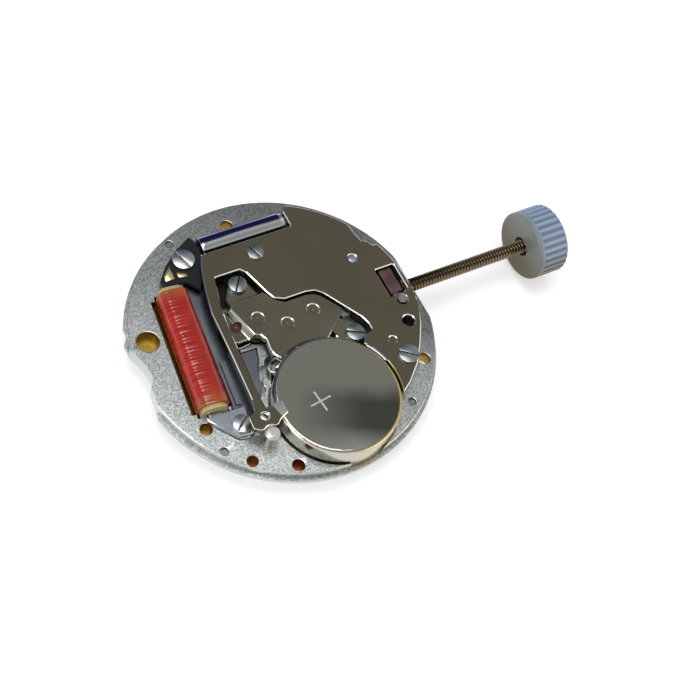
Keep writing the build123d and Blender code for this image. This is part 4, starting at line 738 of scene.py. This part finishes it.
plus_place = Vector((-0.82, -5.73)) * MM
plus_turn = radians(7)
arm_length = 1.46 * MM
arm_width = 0.17 * MM
stamp_depth = 0.045 * MM
stamped_end_share = 0.94
stamped_floor_share = 0.45
stamped = polished_metal("stamped_mark", (0.80, 0.80, 0.76), roughness=0.3)
for arm_turn in (0, tau / 4):
    bpy.ops.object.select_all(action="DESELECT")
    bpy.ops.mesh.primitive_cube_add(size=1)
    stamp = bpy.context.object
    stamp.data.materials.append(stamped)
    bpy.ops.object.mode_set(mode="EDIT")
    bpy.ops.transform.resize(value=(arm_length, arm_width, 2 * stamp_depth))
    pick(stamp, "FACE", lambda face: face.normal.z < -0.5)
    bpy.ops.transform.resize(value=(stamped_end_share, stamped_floor_share, 1))
    bpy.ops.object.mode_set(mode="OBJECT")
    stamp.location = (*plus_place, cell_top)
    stamp.rotation_euler = (0, 0, plus_turn + arm_turn)
    bpy.ops.object.transform_apply(location=True, rotation=True, scale=True)
    use_modifier(can, "BOOLEAN", object=stamp, operation="DIFFERENCE", solver="EXACT",
                 material_mode="TRANSFER")
    bpy.data.objects.remove(stamp)
smooth(can, angle=28)
fit(can, "frame", "battery_can")
dress("battery_gasket", moulded("dark_seal", (0.03, 0.03, 0.035), roughness=0.4))
dress("battery_cap", polished_metal("cap_steel", (0.62, 0.62, 0.60), roughness=0.2))
dress("battery_insulator", moulded("amber_film", (0.42, 0.24, 0.05), coat=0.4, roughness=0.3))

# Contacts of the cell: spring strips, the negative one bent up beside the cell in an S, and the
# positive one a heat-blued blade that presses on its side.
spring_round = 0.02 * MM
contact_round = 0.025 * MM
spring_steel = polished_metal("spring_steel", (0.66, 0.65, 0.60), roughness=0.16)
minus = copy_of("negative_contact", "negative_contact_spring", spring_steel)
break_edges(minus, spring_round)
fit(minus, "frame", "negative_contact")
blued = polished_metal("blued_spring", (0.52, 0.36, 1.0), roughness=0.30, wear=0.25,
                       patch=1200.0)
plus = copy_of("positive_contact", "positive_contact_blade", blued, sheared_edge_highlight)
break_edges(plus, contact_round, finish=1)
fit(plus, "frame", "positive_contact")

# Circuit under the cover: green board, moulded chip, and the quartz crystal in its drawn steel
# can with a glass seal and two tinned leads.
dress("circuit_board", moulded("green_board", (0.025, 0.13, 0.06), coat=0.3))
dress("integrated_circuit", moulded("chip_resin", (0.012, 0.012, 0.013), gloss=0.3))
can_axis = (7.05, 1.40)
can_lean = (0.924, 0.383)
can_radius = 0.70
add, close = fresh_material("crystal_steel")
place = add("ShaderNodeTexCoord").outputs["Object"]
spot = add("ShaderNodeSeparateXYZ", {0: place})
across = add("ShaderNodeMapRange", {0: spot.outputs["Y"], 1: (can_axis[0] - can_radius) * MM,
                                    2: (can_axis[0] + can_radius) * MM, 3: -can_lean[0],
                                    4: can_lean[0]}, clamp=False)
upward = add("ShaderNodeMapRange", {0: spot.outputs["Z"], 1: (can_axis[1] - can_radius) * MM,
                                    2: (can_axis[1] + can_radius) * MM, 3: -can_lean[1],
                                    4: can_lean[1]}, clamp=False)
wave = add("ShaderNodeTexNoise", {"Vector": place, "Scale": 350.0})
waved = add("ShaderNodeMapRange", {0: wave.outputs["Fac"], 3: -0.12, 4: 0.12})
level = reckon(add, "ADD", across.outputs[0], upward.outputs[0])
level = reckon(add, "ADD", level, waved.outputs[0])
level = add("ShaderNodeMapRange", {0: level, 1: -1.0, 2: 1.0})
sheen = ramp(add, level.outputs[0],
             (0.0, (0.05, 0.05, 0.05)), (0.16, (0.10, 0.10, 0.11)), (0.26, (0.42, 0.43, 0.45)),
             (0.48, (0.62, 0.63, 0.66)), (0.60, (0.90, 0.92, 0.95)), (0.68, (0.05, 0.055, 0.16)),
             (0.90, (0.08, 0.085, 0.22)), (1.0, (0.50, 0.51, 0.55)))
dress("crystal_can", close(add("ShaderNodeBsdfPrincipled", {
    "Base Color": sheen, "Metallic": 1.0, "Roughness": 0.10})))
dress("crystal_base", polished_metal("crystal_collar", (0.62, 0.62, 0.60), roughness=0.3))
dress("crystal_leads", polished_metal("tinned_lead", (0.62, 0.62, 0.60), roughness=0.28))

# Spacer under the cover: a black moulding that keeps the module at its height. Only its walls
# show in the cover's windows. A slot in it lets the setting lever's nose swing with the stem.
nose_place = Vector((8.00, -0.06, 1.44)) * MM
nose_turn = radians(-18)
nose_room = Vector((0.92, 0.38, 0.20)) * MM
spacer = copy_of("module_spacer", "module_spacer_slotted",
                 moulded("black_spacer", (0.012, 0.012, 0.013), roughness=0.5, gloss=0.3))
bpy.ops.object.select_all(action="DESELECT")
bpy.ops.mesh.primitive_cube_add(size=1, location=nose_place, rotation=(0, 0, nose_turn),
                                scale=nose_room)
slot_cutter = bpy.context.object
use_modifier(spacer, "BOOLEAN", object=slot_cutter, operation="DIFFERENCE", solver="EXACT")
bpy.data.objects.remove(slot_cutter)
smooth(spacer)
fit(spacer, "frame", "module_spacer")

# Train bridge, module cover and battery clamp: stamped sheets, nickel-plated and polished like a
# mirror, painted dark for the dark room they reflect, with broken edges bright in a painted
# highlight. They are held by screws, the clamp by its post and pin.
# Painted reflection: the polished nickel is painted dark, as it mirrors a dark room.
mirror_nickel_painted_dark = polished_metal("mirror_nickel_painted_dark", (0.225, 0.208, 0.150), roughness=0.10,
                               depth=0.03, wear=0.05)
bridge_nickel_painted_dark = polished_metal("bridge_nickel_painted_dark", (0.275, 0.262, 0.198), roughness=0.11, depth=0.03,
                             wear=0.15, patch=180.0)
# Painted highlight: edges and slopes of the same nickel, painted bright.
painted_edge_highlight = polished_metal("painted_edge_highlight", (0.90, 0.89, 0.85), roughness=0.15)
pale_tab = polished_metal("pale_tab", (0.50, 0.51, 0.50), roughness=0.22, wear=0.15, patch=900.0)
fold_shade = polished_metal("fold_shade", (0.12, 0.12, 0.10), roughness=0.16)
bridge_top, lug_top, rotor_lug_top = 1.95 * MM, 1.55 * MM, 1.70 * MM
bridge_rim, lug_rim = 0.06 * MM, 0.03 * MM
cover_top, cover_step = 2.10 * MM, 2.00 * MM
cover_rim = 0.055 * MM
clamp_top = 2.50 * MM
clamp_rim = 0.035 * MM
least_slope, most_slope = 0.2, 0.97
tab_fold = Vector((-3.62, -5.38)) * MM
tab_way = Vector((0.93, 0.36, 0))
fold_way = Vector((-0.9645, -0.264, 0))
fold_top, fold_crest, fold_foot = 2.223 * MM, 2.345 * MM, 2.555 * MM
fold_start, fold_side, fold_end = -0.10 * MM, 2.20 * MM, 2.62 * MM
fold_floor = 1.78 * MM
fold_play = 0.012 * MM
fold_cut = 0.0001 * MM
crest_lift, top_lift = 0.064 * MM, 0.042 * MM


def polished_sheet(node, plating, rims):
    """A copy of a stamped sheet, with painted highlights on its slopes and on bevels round its
    top faces.
    """
    sheet = copy_of(node, node + "_polished", plating, painted_edge_highlight, pale_tab, fold_shade)
    for face in sheet.data.polygons:
        if least_slope < face.normal.z < most_slope:
            face.material_index = 1
    for tops, width in rims:
        bevel_rim(sheet, tops, width, drop=width)
    return sheet


def on_fold(spot, normal):
    """Whether a face of the bridge is on the fold above the rotor's lug."""
    return (0.5 < normal.z < 0.96 and fold_start < spot.y < fold_side
            and fold_top < spot.dot(fold_way) < fold_end)


bridge = polished_sheet("train_bridge", bridge_nickel_painted_dark, (
    ((bridge_top, lug_top), bridge_rim), ((rotor_lug_top,), lug_rim)))
# Two cuts give the fold above the rotor's lug a middle band, and lifting its lines rounds it.
edit(bridge)
for cut in (fold_crest, fold_foot):
    pick(bridge, "FACE", lambda face: on_fold(face.calc_center_median(), face.normal))
    bpy.ops.mesh.bisect(plane_co=fold_way * cut, plane_no=fold_way, threshold=fold_cut)
for line, lift in ((fold_top, top_lift), (fold_crest, crest_lift)):
    pick(bridge, "VERT", lambda vert: vert.co.z > fold_floor
         and fold_start < vert.co.y < fold_side
         and abs(vert.co.dot(fold_way) - line) < fold_play)
    bpy.ops.transform.translate(value=(0, 0, lift))
bpy.ops.object.mode_set(mode="OBJECT")
for face in bridge.data.polygons:
    if (on_fold(face.center, face.normal)
            and fold_crest < face.center.dot(fold_way) < fold_foot):
        face.material_index = 3
smooth(bridge)
fit(bridge, "frame", "train_bridge")

cover = polished_sheet("module_cover", mirror_nickel_painted_dark, (((cover_top, cover_step), cover_rim),))
fit(cover, "frame", "module_cover")

clamp = polished_sheet("battery_clamp", mirror_nickel_painted_dark, (((clamp_top,), clamp_rim),))
edit(clamp)
bpy.ops.mesh.select_all(action="SELECT")
bpy.ops.mesh.bisect(plane_co=(*tab_fold, 0), plane_no=tab_way)
bpy.ops.object.mode_set(mode="OBJECT")
for face in clamp.data.polygons:
    if face.normal.z > floor_slope and (face.center.xy - tab_fold).dot(tab_way.xy) > 0:
        face.material_index = 2
fit(clamp, "frame", "battery_clamp")

# Post and pin of the clamp: turned nickel-plated brass, pressed in the plate, the post hollow
# and the pin with a domed pearly head.
post_round = 0.03 * MM
pin_dome = 0.09 * MM
turned_post = polished_metal("turned_post", (0.58, 0.57, 0.53), roughness=0.2)
post = copy_of("clamp_post", "clamp_post_turned", turned_post, painted_edge_highlight)
break_edges(post, post_round, finish=1)
fit(post, "frame", "clamp_post")
pearl = polished_metal("pearled_nickel", (0.62, 0.61, 0.57), roughness=0.34, wear=0.2,
                       patch=1500.0)
pin = copy_of("clamp_pin", "clamp_pin_domed", pearl)
break_edges(pin, pin_dome, segments=4)
fit(pin, "frame", "clamp_pin")

# Locating pin of the cover: a turned steel peg. The cover's hole drops over it, and its end is
# flush with the sheet.
locator_round = 0.05 * MM
pale_steel = polished_metal("pale_steel", (0.42, 0.50, 0.60), roughness=0.32, wear=0.1)
locator = copy_of("locating_pin", "locating_pin_turned", pale_steel)
break_edges(locator, locator_round, segments=3)
fit(locator, "frame", "locating_pin")

# Keyless works: the lever that the stem swings, its yoke, their pins and the jumper spring under
# the cover's window, all hardened steel.
dress("keyless_pins", polished_metal("keyless_pin_steel", (0.48, 0.49, 0.50), roughness=0.2))
dress("lever_jumper", polished_metal("jumper_steel", (0.26, 0.17, 0.17), roughness=0.2,
                                     wear=0.25, patch=1200.0))
dress("setting_lever", polished_metal("lever_steel", (0.40, 0.39, 0.38), roughness=0.22))
dress("yoke", polished_metal("yoke_steel", (0.42, 0.41, 0.40), roughness=0.22))
dress("sliding_pinion", polished_metal("clutch_steel", (0.50, 0.51, 0.52), roughness=0.22))

# Winding stem: turned steel with a pilot, a square, the lever's groove and a cut thread that the
# crown screws on. It slides and turns with the crown.
stem_height = 1.10 * MM
thread_radius = 0.45 * MM
thread_root = 0.345 * MM
stem_round = 0.02 * MM
stem_play = 0.02 * MM
thread_sink = 0.02 * MM
thread_start = 9.02 * MM
thread_end = 18.60 * MM
thread_relief = 0.1 * MM
thread_pitch = 0.225 * MM
root_share = 0.96
crest_share = 0.22
steps_a_turn = 20
oiled_steel = polished_metal("oiled_steel", (0.12, 0.09, 0.055), roughness=0.24, wear=0.2,
                             patch=800.0)
stem = copy_of("stem", "stem_turned", oiled_steel)
edit(stem)
pick(stem, "VERT", lambda vert: vert.co.x > thread_start - thread_relief
     and hypot(vert.co.y, vert.co.z - stem_height) > thread_radius - stem_play)
narrow = thread_root / thread_radius
bpy.ops.transform.resize(value=(1, narrow, narrow), center_override=(0, 0, stem_height))
bpy.ops.object.mode_set(mode="OBJECT")
break_edges(stem, stem_round)
fit(stem, "stem_and_crown", "stem")

bpy.ops.object.select_all(action="DESELECT")
bpy.ops.mesh.primitive_plane_add(size=1)
thread = bpy.context.object
thread.name = "stem_thread"
bpy.ops.object.mode_set(mode="EDIT")
bpy.ops.transform.resize(value=(thread_pitch * root_share,
                                thread_radius - thread_root + thread_sink, 1))
bpy.ops.transform.translate(value=(0, (thread_radius + thread_root - thread_sink) / 2, 0))
pick(thread, "VERT", lambda vert: vert.co.y > (thread_radius + thread_root) / 2)
bpy.ops.transform.resize(value=(crest_share, 1, 1))
bpy.ops.mesh.select_all(action="SELECT")
bpy.ops.mesh.delete(type="ONLY_FACE")
bpy.ops.object.mode_set(mode="OBJECT")
turns = int((thread_end - thread_start) / thread_pitch)
use_modifier(thread, "SCREW", axis="X", screw_offset=thread_pitch, iterations=turns,
             steps=steps_a_turn, render_steps=steps_a_turn)
thread.location = (thread_start + thread_pitch, 0, stem_height)
take(thread)
bpy.ops.object.transform_apply(location=True, rotation=True, scale=True)
bpy.ops.object.mode_set(mode="EDIT")
bpy.ops.mesh.select_all(action="SELECT")
bpy.ops.mesh.remove_doubles(threshold=merge_distance)
bpy.ops.mesh.fill_holes(sides=4)
bpy.ops.mesh.select_all(action="SELECT")
bpy.ops.mesh.normals_make_consistent(inside=False)
bpy.ops.object.mode_set(mode="OBJECT")
thread.data.materials.append(polished_metal("thread_steel", (0.17, 0.135, 0.085),
                                            roughness=0.15))
smooth(thread, angle=35)
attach(thread, "stem_and_crown")

# Transport crown: moulded grey plastic with thirty flutes and a smooth band by its face, screwed
# on the stem's thread.
crown_face = 17.96 * MM
crown_radius = 2.30 * MM
add, close = fresh_material("crown_plastic")
place = add("ShaderNodeTexCoord").outputs["Object"]
spot = add("ShaderNodeSeparateXYZ", {0: place})
# Painted light: the crown is lighter and bluer on top and darker and warmer below, a painted
# shade with a warm bounce.
lit = add("ShaderNodeMapRange", {0: spot.outputs["Z"], 1: stem_height - 1.0 * MM,
                                 2: stem_height + 1.6 * MM})
rim = add("ShaderNodeMapRange", {0: spot.outputs["X"], 1: crown_face + 0.10 * MM,
                                 2: crown_face + 0.45 * MM})
upper = blend(add, rim.outputs[0], (0.205, 0.225, 0.205, 1), (0.29, 0.37, 0.50, 1))
painted_light_tone = blend(add, lit.outputs[0], (0.115, 0.092, 0.042, 1), upper)
centred = add("ShaderNodeVectorMath", {0: place, 1: (0, 0, stem_height)}, operation="SUBTRACT")
flat = add("ShaderNodeVectorMath", {0: centred.outputs[0], 1: (0, 1, 1)}, operation="MULTIPLY")
off_axis = add("ShaderNodeVectorMath", {0: flat.outputs[0]}, operation="LENGTH")
# Painted shade: the flute valleys are darker than their crests.
flute_valley_shade = add("ShaderNodeMapRange", {0: off_axis.outputs["Value"], 1: crown_radius - 0.10 * MM,
                                    2: crown_radius, 3: 0.55, 4: 1.05})
flute_shade = blend(add, rim.outputs[0], 1.0, flute_valley_shade.outputs[0], "FLOAT")
shade = add("ShaderNodeVectorMath", {0: painted_light_tone, "Scale": flute_shade}, operation="SCALE")
skin = add("ShaderNodeTexNoise", {"Vector": place, "Scale": 8000.0, "Detail": 3.0})
rough = add("ShaderNodeMapRange", {0: skin.outputs["Fac"], 3: 0.36, 4: 0.50})
raised = add("ShaderNodeBump", {"Height": skin.outputs["Fac"], "Distance": 0.01 * MM,
                                "Strength": 0.15})
dress("crown", close(add("ShaderNodeBsdfPrincipled", {
    "Base Color": shade.outputs[0], "Roughness": rough.outputs[0],
    "Normal": raised.outputs[0]})))
